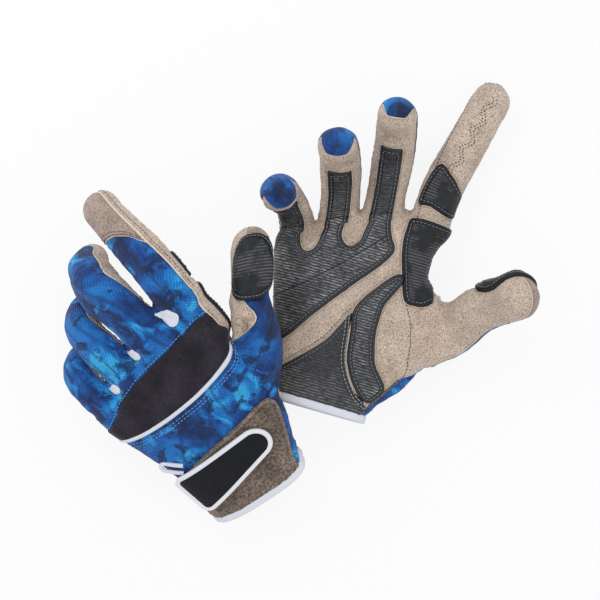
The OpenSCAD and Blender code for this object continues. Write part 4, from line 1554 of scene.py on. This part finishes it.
# %% [markdown]
# The strap tab is moulded: a black plate with a fine grain, a white rim, and a
# pad of hook tape under it. A thread is two-toned, so that its twist shows.

# %% Tab and threads
def moulded_black():
    rubber = Finish("moulded_black", 0.5, 0.15)
    flat = rubber.on("cloth")
    grain = rubber.noise(flat, 1.6, 3, 0.6)
    colour = rubber.ramp(rubber.noise(flat, 0.12, 3), [(0.3, (0.006, 0.007, 0.011)),
                                                     (0.7, (0.011, 0.011, 0.015))])
    rubber.done(colour, rubber.bump(grain, 0.06, 0.5))


def white_rubber():
    rubber = Finish("white_rubber", 0.45, 0.4)
    rubber.surface.inputs["Base Color"].default_value = (0.86, 0.86, 0.88, 1)
    grain = rubber.noise(rubber.on("cloth"), 1.2, 3, 0.6)
    rubber.done(normal=rubber.bump(grain, 0.04, 0.4))


def hook_tape():
    hooks = Finish("hook_tape", 0.6, 0.4)
    dots = hooks.dots(hooks.on("cloth"), 0.8, 0.1)
    colour = hooks.ramp(dots, [(0.2, (0.06, 0.06, 0.065)), (0.5, (0.018, 0.018, 0.02))])
    hooks.done(colour, hooks.bump(dots, 0.5, 1.0))


def thread(name, colour):
    strand = Finish(name, 0.6, 0.4)
    twist = strand.noise(strand.add("TexCoord").outputs["Object"], 2500, 2)
    dark = tuple(0.6 * c for c in colour)
    strand.done(strand.ramp(twist, [(0.35, dark), (0.65, colour)]),
                strand.bump(twist, 0.05, 0.5))


moulded_black()
white_rubber()
hook_tape()
# The grey thread is black thread, coloured blue-grey because its glints are painted in.
for name, colour in {
        "blue_thread": (0.22, 0.45, 0.85), "pale_thread": (0.5, 0.42, 0.32),
        "brown_thread": (0.13, 0.095, 0.07), "black_thread": (0.006, 0.006, 0.008),
        "hole_brown": (0.06, 0.045, 0.035), "grey_thread": (0.25, 0.28, 0.33),
        "light_thread": (0.5, 0.5, 0.52)}.items():
    thread(name, colour)
print(len(FINISHES), "finishes")

# %% [markdown]
# Every panel gets its finish in a material slot, and the plain CAD solid that
# it stands for is hidden; a panel of the hand also gets the body it moves with.
# The knuckle panel and the thumb's patch have foam under them.

# %% Finishing the panels
CLOTH_OF = {"knuckle_panel": "neoprene", "wrist_loop_patch": "loop_pile",
            "fourchettes": "white_tape", "palm_patch": "palm_leather",
            "heel_patch": "strip_leather", "band_patch": "palm_leather",
            "web_patch": "smooth_leather", "index_patch": "smooth_leather",
            "thumb_patch": "smooth_leather", "index_tip_cap": "back_suede",
            "thumb_tip_cap": "back_suede", "palm_panel": "suede"}
CLOTH_BY_ENDING = {"strip": "strip_leather", "palm": "suede"}
NODE_OF = {"heel_patch": "palm_reinforcements", "band_patch": "palm_reinforcements",
           "web_patch": "palm_reinforcements", "thumb_tip_cap": "thumb_back"}


def cloth_of(name):
    return CLOTH_OF.get(name) or CLOTH_BY_ENDING.get(name.split("_")[-1], "blue_knit")


def finish(thing, finish_name):
    thing.data.materials.append(FINISHES[finish_name])


for (side, name), thing in panel_objects.items():
    finish(thing, cloth_of(name))
    carry(thing, side, digit_of(name))
    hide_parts(side + "_" + NODE_OF.get(name, name))
print(len(panel_objects), "panels finished")

# %% [markdown]
# The trims follow seams, so they need seams as lines. A line is the run of
# points where a field has a given value: each triangle that the value crosses
# gives one short piece, and pieces that share an edge join up. Every point of
# a line remembers its mesh edge, so the same line lies on both gloves.

# %% Lines along the seams
def contour(field, level):
    """Lines where a field equals level, as lists of (i, j, weight) on mesh edges."""
    value = fields[field] - level
    value = np.where(np.abs(value) < 1e-5, 1e-5, value)
    above = value[tris] > 0
    some = tris[above.any(1) & ~above.all(1)]
    above = value[some] > 0
    alone = np.argmax(above != (above.sum(1) > 1)[:, None], 1)
    rows = np.arange(len(some))
    a, b, c = (some[rows, (alone + i) % 3] for i in range(3))
    first = [tuple(sorted(pair)) for pair in zip(a.tolist(), b.tolist())]
    second = [tuple(sorted(pair)) for pair in zip(a.tolist(), c.tolist())]
    beside = {}
    for one, two in zip(first, second):
        beside.setdefault(one, []).append(two)
        beside.setdefault(two, []).append(one)
    lines, seen = [], set()
    ends = [key for key in beside if len(beside[key]) == 1]
    for start in ends + list(beside):
        if start in seen:
            continue
        line, at = [start], start
        seen.add(start)
        while True:
            onward = [key for key in beside[at] if key not in seen]
            if not onward:
                break
            at = onward[0]
            seen.add(at)
            line.append(at)
        if len(line) > 6:
            closed = len(beside[start]) == 2
            i, j = np.array(line + line[:1] if closed else line).T
            lines.append((i, j, value[i] / (value[i] - value[j])))
    return lines


def on_line(line, values):
    i, j, w = line
    w = w.reshape(-1, *[1] * (values.ndim - 1))
    return values[i] * (1 - w) + values[j] * w


lower_edge = contour("knuckle", -0.3)
print("the knuckle panel's seam is", [len(line[0]) for line in lower_edge], "points")

# %% [markdown]
# A trim or a row of stitches seldom goes all the way round. A test picks the
# stretches of a line that it follows; then it is evened out and smoothed,
# because the points where a line crosses the mesh are unevenly spaced.

# %% Stretches of a line
def run_length(path):
    """How far along a path each of its points lies."""
    return np.r_[0, np.cumsum(np.linalg.norm(np.diff(path, axis=0), axis=1))]


def runs(line, keep, shortest=5.0):
    """The stretches of a line whose flat points pass a test."""
    good = keep(on_line(line, points), line)
    if good.all():
        return [line]
    if (line[0][0], line[1][0]) == (line[0][-1], line[1][-1]):
        start = np.argmin(good)
        order = np.r_[start:len(good) - 1, 0:start + 1]
        line, good = tuple(part[order] for part in line), good[order]
    cuts = np.flatnonzero(np.diff(good.astype(int))) + 1
    made = []
    for piece in np.split(np.arange(len(good)), cuts):
        if good[piece[0]] and len(piece) > 3:
            part = tuple(whole[piece] for whole in line)
            if run_length(on_line(part, points))[-1] > shortest:
                made.append(part)
    return made


def evenly(path, *others, step=1.0):
    """Points at even steps along a path, and other values there."""
    gone = run_length(path)
    count = max(2, round(gone[-1] / step)) + 1
    at = np.linspace(0, gone[-1], count)
    return [np.stack([np.interp(at, gone, value[:, i]) for i in range(value.shape[1])], -1)
            for value in (path, *others)]


def smoothed(path, rounds):
    """A path drawn toward its own neighbours, with its ends kept."""
    for _ in range(rounds):
        new = path * 0.5 + (np.roll(path, 1, 0) + np.roll(path, -1, 0)) * 0.25
        new[0], new[-1] = path[0], path[-1]
        path = new
    return path


print("that seam is", round(run_length(on_line(lower_edge[0], points))[-1]), "mm long")

# %% [markdown]
# A trim is a sweep: a small section carried along a line, with its own
# sideways and upward directions at every point. A curve with a bevel does the
# same, but its section turns where the line twists. Here the cloth's own
# normal says which way is up.

# %% Sweeping a section along a line
TRIM_HARD_ANGLE = 55


def unit(v):
    return v / np.maximum(np.linalg.norm(v, axis=-1, keepdims=True), 1e-9)


def solid(name, verts, faces, weave, cloth, hard_angle=TRIM_HARD_ANGLE):
    mesh = bpy.data.meshes.new(name)
    mesh.from_pydata((np.asarray(verts) * MM).tolist(), [],
                     [tuple(int(i) for i in face) for face in faces])
    give_numbers(mesh, cloth=cloth, weave=weave)
    work = bmesh.new()
    work.from_mesh(mesh)
    bmesh.ops.recalc_face_normals(work, faces=work.faces)
    work.to_mesh(mesh)
    work.free()
    mesh.shade_smooth()
    mesh.set_sharp_from_angle(angle=math.radians(hard_angle))
    return into_scene(name, mesh)


def sweep(name, path, up, section):
    """Carries a closed section of (sideways, up) corners along a path, all in mm."""
    after = np.vstack([path[1:], 2 * path[-1] - path[-2]])
    before = np.vstack([2 * path[0] - path[1], path[:-1]])
    ahead = unit(after - before)
    aside = unit(np.cross(ahead, up))
    up = np.cross(aside, ahead)
    n, m = len(path), len(section)
    section = np.array(section, float)
    verts = path[:, None] + aside[:, None] * section[:, :1] + up[:, None] * section[:, 1:]
    faces = [(i * m + j, (i + 1) * m + j, (i + 1) * m + (j + 1) % m, i * m + (j + 1) % m)
             for i in range(n - 1) for j in range(m)]
    faces += [tuple(range(m)), tuple(range((n - 1) * m, n * m))[::-1]]
    weave = np.stack([np.tile(run_length(section), n), np.repeat(run_length(path), m),
                      np.zeros(n * m)], -1)
    # Each trim takes its unevenness from another place of the noise.
    return solid(name, verts.reshape(-1, 3), faces, weave, weave + [0, 3 * len(name), 0])


def tape_section(half, low, high, corner=0.5, steps=4):
    """A flat bar with rounded upper corners, as (sideways, up) corners."""
    turns = np.radians(np.linspace(0, 90, steps))
    right = [(half - corner + corner * math.sin(t), high - corner + corner * math.cos(t))
             for t in turns]
    left = [(-x, y) for x, y in right[::-1]]
    return [(-half, low)] + left + right + [(half, low)]


def round_section(half, high, low=-0.4, steps=9):
    turns = np.radians(np.linspace(180, 0, steps))
    return [(half * math.cos(t), high * math.sin(t)) for t in turns] + [(half, low), (-half, low)]


def fit(thing, finish_name, side, body, node):
    """Gives a trim its finish, the body that it rides on and the node that it stands for."""
    finish(thing, finish_name)
    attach(thing, f"{side}_{body}")
    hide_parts(f"{side}_{node}")


print("a pull loop's section has", len(tape_section(1.2, -0.6, 0.6, 0.4)), "corners")

# %% [markdown]
# The white piping is a narrow roll of tape sewn into the knuckle panel's seam. It
# runs under the panel and up round its end on the thumb side, and stops there.

# %% Knuckle piping
PIPING_START, PIPING_END, PIPING_EDGE = -46, 91, 2.5
PIPING_STEP, PIPING_HALF, PIPING_HIGH = 1.2, 1.5, 2.0


def under_the_panel(flat, line):
    x, y, z = flat.T
    below = y < 76 + 26 * ease((x - 34) / 12)
    return below & (x > PIPING_START) & (y < PIPING_END) & (z > PIPING_EDGE)


for side, glove in GLOVES.items():
    stretches = [part for whole in lower_edge for part in runs(whole, under_the_panel)]
    line = max(stretches, key=lambda part: len(part[0]))
    path, up = evenly(on_line(line, glove["skin"]), on_line(line, glove["normal"]),
                      step=PIPING_STEP)
    path, up = smoothed(path, 6), smoothed(up, 8)
    piping = sweep(side + "_knuckle_piping", path, up, round_section(PIPING_HALF, PIPING_HIGH))
    fit(piping, "white_tape", side, "hand", "knuckle_piping")
    print(side, "piping is", round(run_length(path)[-1]), "mm long")

# %% [markdown]
# The binding, the tab and the loop lie on the wrist, so they need its points by
# angle round the hand or by place on its back, and a height over it. Reading
# them from the same formulas as the skin keeps them seated on it.

# %% Points on the wrist
def hand_point(angle, y):
    """A point of the hand's face: the angle runs from the little finger's edge over the back."""
    turn_by = np.radians(angle)
    c, s = np.cos(turn_by), np.sin(turn_by)
    little_half, thumb_half = half_widths(y)
    half = np.where(c >= 0, little_half, thumb_half)
    x = (radial_x(y) + ulnar_x(y)) / 2 - half * np.sign(c) * np.abs(c) ** FULLNESS
    z = hand_t(y) / 2 * np.sign(s) * np.abs(s) ** FULLNESS * fork_dip(x, y)
    return np.stack([x, y + 0 * x, z], -1)


def lifted(angle, y, lift):
    angle, y, lift = np.broadcast_arrays(np.asarray(angle, float), y, lift)
    across = hand_point(angle + 1, y) - hand_point(angle - 1, y)
    along = hand_point(angle, y + 1) - hand_point(angle, y - 1)
    return hand_point(angle, y) + unit(np.cross(across, along)) * lift[..., None]


def over(x, y, lift, face=1):
    """The point that lies lift mm over [x, y] on the back, or on the palm for face -1."""
    middle = (radial_x(y) + ulnar_x(y)) / 2
    little_half, thumb_half = half_widths(y)
    part = (middle - x) / np.where(x < middle, little_half, thumb_half)
    c = np.clip(np.sign(part) * np.abs(part) ** (1 / FULLNESS), -1, 1)
    return lifted(face * np.degrees(np.arccos(c)), y, lift)


def on_hand_of(side, x, y, lift):
    """The same for one glove, whose hand may be tucked."""
    low, wide = ulnar_x(y), radial_x(y) - ulnar_x(y)
    drawn = GLOVES[side]["tuck"] * between(y / PALM_LEN, TUCK)
    spot = over(low + (x - low) / (1 - drawn / wide), y, lift)
    return spot - np.stack([drawn * np.clip((spot[:, 0] - low) / wide, 0, 1), 0 * y, 0 * y], -1)


wrist_top = over(np.array([0.0]), np.array([20.0]), 0.0)[0]
print("the wrist's back is", wrist_top[2].round(1), "mm over its middle")

# %% [markdown]
# The cuff binding is a tape folded over the cut edge: its section is a narrow
# U. It puckers a little, as a stretched tape does.

# %% Cuff binding
# The section's corners: along the hand from the cuff edge, and over the skin.
BINDING = [(1.1, 0.1), (0.9, 0.75), (0.2, 1.0), (-2.4, 1.1), (-3.4, 0.8), (-3.8, -0.1),
           (-3.5, -1.1), (-2.6, -1.6), (0.6, -1.75), (0.8, -1.3)]
BINDING_STEP = 3.0
around = np.arange(0, 360, BINDING_STEP)
angles = np.where(around > 180, around - 360, around)
pucker = 0.12 * np.sin(np.radians(around) * 23) + 0.1 * np.sin(np.radians(around) * 41 + 1)
n, m = len(around), len(BINDING)
faces = [(i * m + j, (i + 1) % n * m + j, (i + 1) % n * m + (j + 1) % m, i * m + (j + 1) % m)
         for i in range(n) for j in range(m)]
weave = np.stack([np.tile([y for y, lift in BINDING], n), np.repeat(around * 0.5, m),
                  np.zeros(n * m)], -1)
for side, glove in GLOVES.items():
    edge = cuff_y(angles, glove["drop"])
    rows = [lifted(angles, edge + max(0.0, y), lift + (pucker if lift > 0 else 0))
            + [0, min(0, y), 0] for y, lift in BINDING]
    ring = place(side, np.stack(rows, 1).reshape(-1, 3))
    binding = solid(side + "_cuff_binding", ring, faces, weave, weave)
    fit(binding, "white_tape", side, "hand", "cuff_binding")
print(len(GLOVES), "cuff bindings of", n, "sections")

# %% [markdown]
# The strap tab is a flat moulded piece: a black plate with a white rim. Its
# outline is drawn flat, from its sewn end to its round free end, and then laid
# over the pile patch on the wrist.

# %% Outline of the strap tab
TAB_LEN, TAB_W, TAB_END_W, RIM_W = 62.0, 29.0, 19.5, 2.8
TAB_CORNER, TAB_POINTS = 5.0, 150
TAB_FOOT = np.array([-CUFF_W / 2 + 1.6, 0.162 * PALM_LEN])
TAB_SLOPE = math.radians(7.5)
TAB_MIDDLE = np.array([TAB_LEN * 0.47, 0])


def tab_outline(inset):
    """Points round the tab, inset from its edge, as [along, aside] in mm."""
    length, radius = TAB_LEN - inset, TAB_END_W / 2 - inset
    slim = math.degrees(math.atan2((TAB_W - TAB_END_W) / 2, TAB_LEN))
    start = TAB_W / 2 - inset
    turns = np.radians(np.linspace(90 - slim, -90 + slim, 25))
    free = [(length - radius + radius * math.cos(t), radius * math.sin(t)) for t in turns]
    small = max(0.5, TAB_CORNER - inset)
    foot = [(inset + small - small * math.sin(t), -start + small - small * math.cos(t))
            for t in np.radians(np.linspace(0, 90, 7))]
    other = [(a, -b) for a, b in foot[::-1]]
    loop = np.array(free + foot + other + free[:1])
    return evenly(loop, step=1.0)[0][:-1]


def resample(loop, count):
    closed = np.vstack([loop, loop[:1]])
    gone = np.r_[0, np.cumsum(np.hypot(*np.diff(closed, axis=0).T))]
    at = np.linspace(0, gone[-1], count, endpoint=False)
    return np.stack([np.interp(at, gone, closed[:, i]) for i in (0, 1)], -1)


def on_tab(side, spots, lift):
    c, s = math.cos(TAB_SLOPE), math.sin(TAB_SLOPE)
    x = TAB_FOOT[0] + spots[:, 0] * c - spots[:, 1] * s
    y = TAB_FOOT[1] + spots[:, 0] * s + spots[:, 1] * c
    return place(side, on_hand_of(side, x, y, lift))


print("the tab is", TAB_LEN, "mm long")

# %% [markdown]
# The plate, the rim and the hook pad are each a stack of rings that follow the
# outline. Each ring has its own inset and height; the plate's top is closed by
# ever smaller rings, so that it can follow the round of the wrist.

# %% Strap tab
TAB_LOW, TAB_HIGH = 2.7, 4.7
TAB_CROWN, TAB_HARD_ANGLE = 0.25, 40
# For each piece: finish, rings as (inset, height), capped or not, and shrinking rings.
TAB_FORMS = {
    "strap_tab": ("moulded_black", [
        (9.0, TAB_LOW), (RIM_W - 0.4, TAB_LOW), (RIM_W - 0.4, TAB_HIGH - 0.6),
        (RIM_W - 0.1, TAB_HIGH - 0.15), (RIM_W + 0.3, TAB_HIGH)],
        True, (0.85, 0.65, 0.45, 0.25, 0.1)),
    "strap_welt": ("white_rubber", [
        (RIM_W - 0.2, TAB_LOW), (0.5, TAB_LOW), (0.1, TAB_LOW + 0.4), (0.0, TAB_LOW + 1.2),
        (0.3, TAB_HIGH), (0.9, TAB_HIGH + 0.3), (RIM_W - 0.9, TAB_HIGH + 0.3),
        (RIM_W - 0.2, TAB_HIGH - 0.1), (RIM_W - 0.2, TAB_LOW)],
        False, ()),
    "strap_hook_pad": ("hook_tape", [
        (8.5, TAB_LOW - 0.9), (4.2, TAB_LOW - 0.9), (4.0, TAB_LOW - 0.7),
        (4.0, TAB_LOW - 0.05), (8.5, TAB_LOW - 0.05)],
        True, ()),
}


def stacked(rings, capped):
    """A solid from rings of points, closed by fans at both ends if asked."""
    n = len(rings[0])
    verts = np.vstack(rings)
    faces = [(r * n + i, r * n + (i + 1) % n, (r + 1) * n + (i + 1) % n, (r + 1) * n + i)
             for r in range(len(rings) - 1) for i in range(n)]
    for start in (0, (len(rings) - 1) * n) if capped else ():
        verts = np.vstack([verts, verts[start:start + n].mean(0)])
        faces += [(start + i, start + (i + 1) % n, len(verts) - 1) for i in range(n)]
    return verts, faces


def tab_piece(name, side, levels, capped, shrink):
    """A stack of rings round the tab, and then of ever smaller ones on top."""
    rings, flats = [], []
    for inset, lift in levels:
        spots = resample(tab_outline(inset), TAB_POINTS)
        rings.append(on_tab(side, spots, lift))
        flats.append(np.column_stack([spots, np.full(TAB_POINTS, lift)]))
    last = spots
    for part in shrink:
        spots = TAB_MIDDLE + (last - TAB_MIDDLE) * part
        rings.append(on_tab(side, spots, lift + TAB_CROWN * (1 - part)))
        flats.append(np.column_stack([spots, np.full(TAB_POINTS, lift)]))
    verts, faces = stacked(rings, capped)
    flat = np.vstack(flats)
    flat = np.vstack([flat, np.tile([[*TAB_MIDDLE, 0]], (len(verts) - len(flat), 1))])
    return solid(name, verts, faces, flat, flat, TAB_HARD_ANGLE)


for side in GLOVES:
    for node, (finish_name, levels, capped, shrink) in TAB_FORMS.items():
        piece = tab_piece(f"{side}_{node}", side, levels, capped, shrink)
        fit(piece, finish_name, side, "strap", node)
print("the tab stands", TAB_HIGH, "mm over the wrist")

# %% [markdown]
# The pull loop is one flat tape bent round on itself, with a slit in the
# middle; it lies aslant on the wrist, beside the tab.

# %% Pull loop
LOOP_FOOT, LOOP_LEN, LOOP_W = (-0.36 * CUFF_W, 0.302 * PALM_LEN), 15.0, 8.0
LOOP_TAPE_HALF, LOOP_LIFT, LOOP_STEP = 1.2, 0.7, 0.8
LOOP_TILT = turn("y", -20) @ turn("z", -35)


def loop_line():
    """The tape's middle line, flat: out, round the far end and back, rising a little."""
    radius, far = LOOP_W / 2 - LOOP_TAPE_HALF, LOOP_LEN - LOOP_W / 2
    turns = np.radians(np.linspace(90, 270, 17))
    line = [(0, radius)] + [(-far * t, radius) for t in (0.35, 0.7)]
    line += [(-far + radius * math.cos(t), radius * math.sin(t)) for t in turns]
    line += [(-far * t, -radius) for t in (0.7, 0.35)] + [(0, -radius)]
    rise = [0.6 + 0.25 * math.sin(math.pi * min(1, -x / far) * 0.9) for x, y in line]
    return np.column_stack([line, rise])


for side, glove in GLOVES.items():
    flat = loop_line()
    flat, up = evenly(flat, np.tile([[0, 0, 1.0]], (len(flat), 1)), step=LOOP_STEP)
    foot = on_hand_of(side, np.array([LOOP_FOOT[0]]), np.array([LOOP_FOOT[1]]), LOOP_LIFT)[0]
    path = place(side, flat @ LOOP_TILT.T + foot)
    up = up @ LOOP_TILT.T @ glove["turn"].T
    loop = sweep(side + "_pull_loop", path, up, tape_section(LOOP_TAPE_HALF, -0.6, 0.6, 0.4))
    fit(loop, "white_tape", side, "hand", "pull_loop")
print(len(GLOVES), "pull loops of", LOOP_LEN, "mm")

# %% [markdown]
# Stitches make cloth believable. A row of stitches is the line where a field
# has a chosen value, so it keeps its distance from the seam by itself. Tests
# say where a row is sewn. Three rows follow no seam and have fields of their
# own: the crease line of the palm patch, the seam beside the thumb, and the
# zigzag of holes on the index finger.

# %% Where stitches run
# How long one zigzag is, along the finger.
ZIG_LEN = 6.5


def lower_side(flat, line):
    x, y, z = flat.T
    return (y < 80 + 20 * ease((x - 34) / 12)) & (z > -1) & (x > -47)


def upper_side(flat, line):
    x, y, z = flat.T
    return (y > 80) & (x < 47) & (z > -1) & (x > -47)


def on_back(flat, line):
    return (flat[:, 2] > -3) & (flat[:, 1] > -4)


def on_palm(flat, line):
    return (flat[:, 2] < 1) & (flat[:, 1] > 2)


def inside(name, least=0.0, test=on_palm):
    return lambda flat, line: test(flat, line) & (on_line(line, fields[name]) > least)


def outside(name, most=0.0, test=on_palm):
    return lambda flat, line: test(flat, line) & (on_line(line, fields[name]) < most)


def on_digit(k, extra=None):
    def test(flat, line):
        good = on_line(line, fields[f"digit{k}"]) > 1
        return good & extra(flat, line) if extra else good
    return test


def above_field(name, least):
    return lambda flat, line: on_line(line, fields[name]) > least


def index_side(flat, line):
    return (flat[:, 0] > 34) & (on_line(line, fields["index_patch"]) < -2)


def index_tip(flat, line):
    return (flat[:, 2] < -3) & (flat[:, 1] > 152) & (flat[:, 1] < 202)


x, y, z = points.T
s, across, up = digit_place(DIGITS[1], points)
fields["diagonal"] = y - np.interp(x, (-41, -20, -1, 17), (51, 68, 86, 105))
fields["thumb_line"] = x - np.interp(y, [22, 33, 47, 59, 70, 78], [46.5, 48.5, 47, 44, 38, 30])
fields["zigzag"] = across + 3 - 5 * np.abs((s / ZIG_LEN) % 2 - 1)
print(len(fields), "fields to sew along")

# %% [markdown]
# A patch has one row just inside its edge, of black thread whose blue-grey
# glints are painted into its colour, the panels beside a seam have one or two
# rows in a thread of their own tone, and the index finger's pad is pricked with
# two rows of small holes, each a short dark brown form for the shade inside it.

# %% Sewing list
HOLE_PITCH = 1.8
# Field, level in mm, thread, where, and how far apart the stitches are.
ROWS = [
    ("knuckle", -1.5, "blue_thread", upper_side, 2.4),
    ("knuckle", -4.4, "blue_thread", lower_side, 2.4),
    ("knuckle", -6.4, "blue_thread", lower_side, 2.4),
    ("wrist", 1.3, "pale_thread", on_back, 2.2),
    ("wrist", 2.9, "brown_thread", on_back, 2.2),
    ("cap", 1.4, "brown_thread", on_digit(1, above_field("seam1", 0.5)), 2.3),
    ("cap", 3.4, "brown_thread", on_digit(1, above_field("seam1", 0.5)), 2.3),
    ("leather", 2.2, "grey_thread", on_palm, 2.4),
    ("heel", 2.2, "grey_thread", outside("band", -3.6), 2.4),
    ("heel", -2.2, "brown_thread", outside("band", -2.0, outside("leather", -2.0)), 2.2),
    ("band", -1.4, "light_thread", inside("heel"), 2.4),
    ("band", -3.2, "light_thread", inside("heel"), 2.4),
    ("band", 2.2, "grey_thread", on_palm, 2.4),
    ("web", 2.2, "grey_thread", on_palm, 2.4),
    ("index_patch", 2.2, "grey_thread", on_digit(1), 2.4),
    ("thumb_patch", 2.0, "grey_thread", on_digit(0), 2.3),
    ("thumb_line", 0.0, "brown_thread", outside("band", -2.0, outside("web", -1.0)), 2.2),
    ("diagonal", 0.0, "black_thread", inside("leather", 3.0), 1.6),
    ("diagonal", -1.6, "grey_thread", inside("leather", 4.4), 2.6),
    ("seam1", -2.2, "brown_thread", on_digit(1, index_side), 2.3),
    # Each hole is a dark brown form: painted shade inside the hole.
    ("zigzag", 0.6, "hole_brown", on_digit(1, index_tip), HOLE_PITCH),
    ("zigzag", 2.8, "hole_brown", on_digit(1, index_tip), HOLE_PITCH),
]
print(len(ROWS), "rows to sew on each glove")

# %% [markdown]
# Each stitch is a small capsule, half sunk in the cloth. A texture of dashes
# would be cheaper, but real stitches catch the light and cast small shadows. A
# hole is the same form, shorter, in dark brown as painted shade inside the hole.

# %% One stitch
CAPSULE_SIDES = 6


def capsule(length, radius):
    """A stitch along x: a point, four rings and a point."""
    n, faces = CAPSULE_SIDES, []
    turns = np.linspace(0, 2 * math.pi, n, endpoint=False)
    verts = [(-length / 2, 0, 0)]
    for along, r in ((-0.42, 0.7), (-0.2, 1), (0.2, 1), (0.42, 0.7)):
        verts += [(along * length, radius * r * math.cos(t), radius * r * math.sin(t))
                  for t in turns]
    verts.append((length / 2, 0, 0))
    for i in range(n):
        j = (i + 1) % n
        faces.append((0, 1 + i, 1 + j, 1 + j))
        faces += [(1 + r * n + i, 1 + (r + 1) * n + i, 1 + (r + 1) * n + j, 1 + r * n + j)
                  for r in range(3)]
        faces.append((1 + 3 * n + i, 4 * n + 1, 1 + 3 * n + j, 1 + 3 * n + j))
    return np.array(verts), faces


CAPSULE, CAPSULE_FACES = capsule(1.75, 0.27)
HOLE = capsule(0.75, 0.36)[0]
STITCH_LIFT, LINE_SMOOTHING = 0.08, 4


def place_stitches(path, up, pitch):
    """Stitches at even steps along a path, each turned along it."""
    path, up = evenly(path, up, step=pitch)
    ahead = unit(np.gradient(path, axis=0))
    aside = unit(np.cross(up, ahead))
    frames = np.stack([ahead, aside, np.cross(ahead, aside)], 1)
    form = HOLE if pitch == HOLE_PITCH else CAPSULE
    return path, np.einsum("vi,sij->svj", form, frames) + path[:, None]


print("a stitch has", len(CAPSULE), "points")

# %% [markdown]
# Each row is laid on both gloves, and every stitch is given to the digit or
# the hand that it is sewn to, so that it moves with its own cloth.

# %% Sewing
threads = {}


def sew(part, thread_name, pitch):
    """One row on both gloves. Returns how many stitches it took."""
    count = 0
    nearness = np.stack([on_line(part, fields[f"digit{k}"]) for k in range(5)], 1)
    for side, glove in GLOVES.items():
        up = smoothed(on_line(part, glove["normal"]), LINE_SMOOTHING)
        path = smoothed(on_line(part, glove["skin"]), LINE_SMOOTHING)
        path = path + up * (on_line(part, glove["height"][:, None]) + STITCH_LIFT)
        spots, verts = place_stitches(path, up, pitch)
        lead = evenly(path, nearness, step=pitch)[1]
        owner = np.where(lead.max(1) > 0, lead.argmax(1), -1)
        for k in np.unique(owner):
            threads.setdefault((side, int(k), thread_name), []).append(verts[owner == k])
        count += len(spots)
    return count


for field, level, thread_name, keep, pitch in ROWS:
    parts = [part for line in contour(field, level) for part in runs(line, keep)]
    print(field, level, sum(sew(part, thread_name, pitch) for part in parts), "stitches")

# %% [markdown]
# The stitches of one thread on one part of a glove become one piece, which is
# light to handle and moves as its cloth does.

# %% Threads as pieces
per_stitch = len(CAPSULE)
for (side, k, thread_name), groups in threads.items():
    verts = np.vstack([group.reshape(-1, 3) for group in groups])
    faces = [tuple(dict.fromkeys(i + start for i in face))
             for start in range(0, len(verts), per_stitch) for face in CAPSULE_FACES]
    name = f"{side}_{'hand' if k < 0 else NAMES[k]}_{thread_name}"
    mesh = bpy.data.meshes.new(name)
    mesh.from_pydata((verts * MM).tolist(), [], faces)
    mesh.shade_smooth()
    row = into_scene(name, mesh)
    finish(row, thread_name)
    carry(row, side, None if k < 0 else k)
count = sum(len(group) for groups in threads.values() for group in groups)
print(count, "stitches in", len(threads), "pieces")

# %% [markdown]
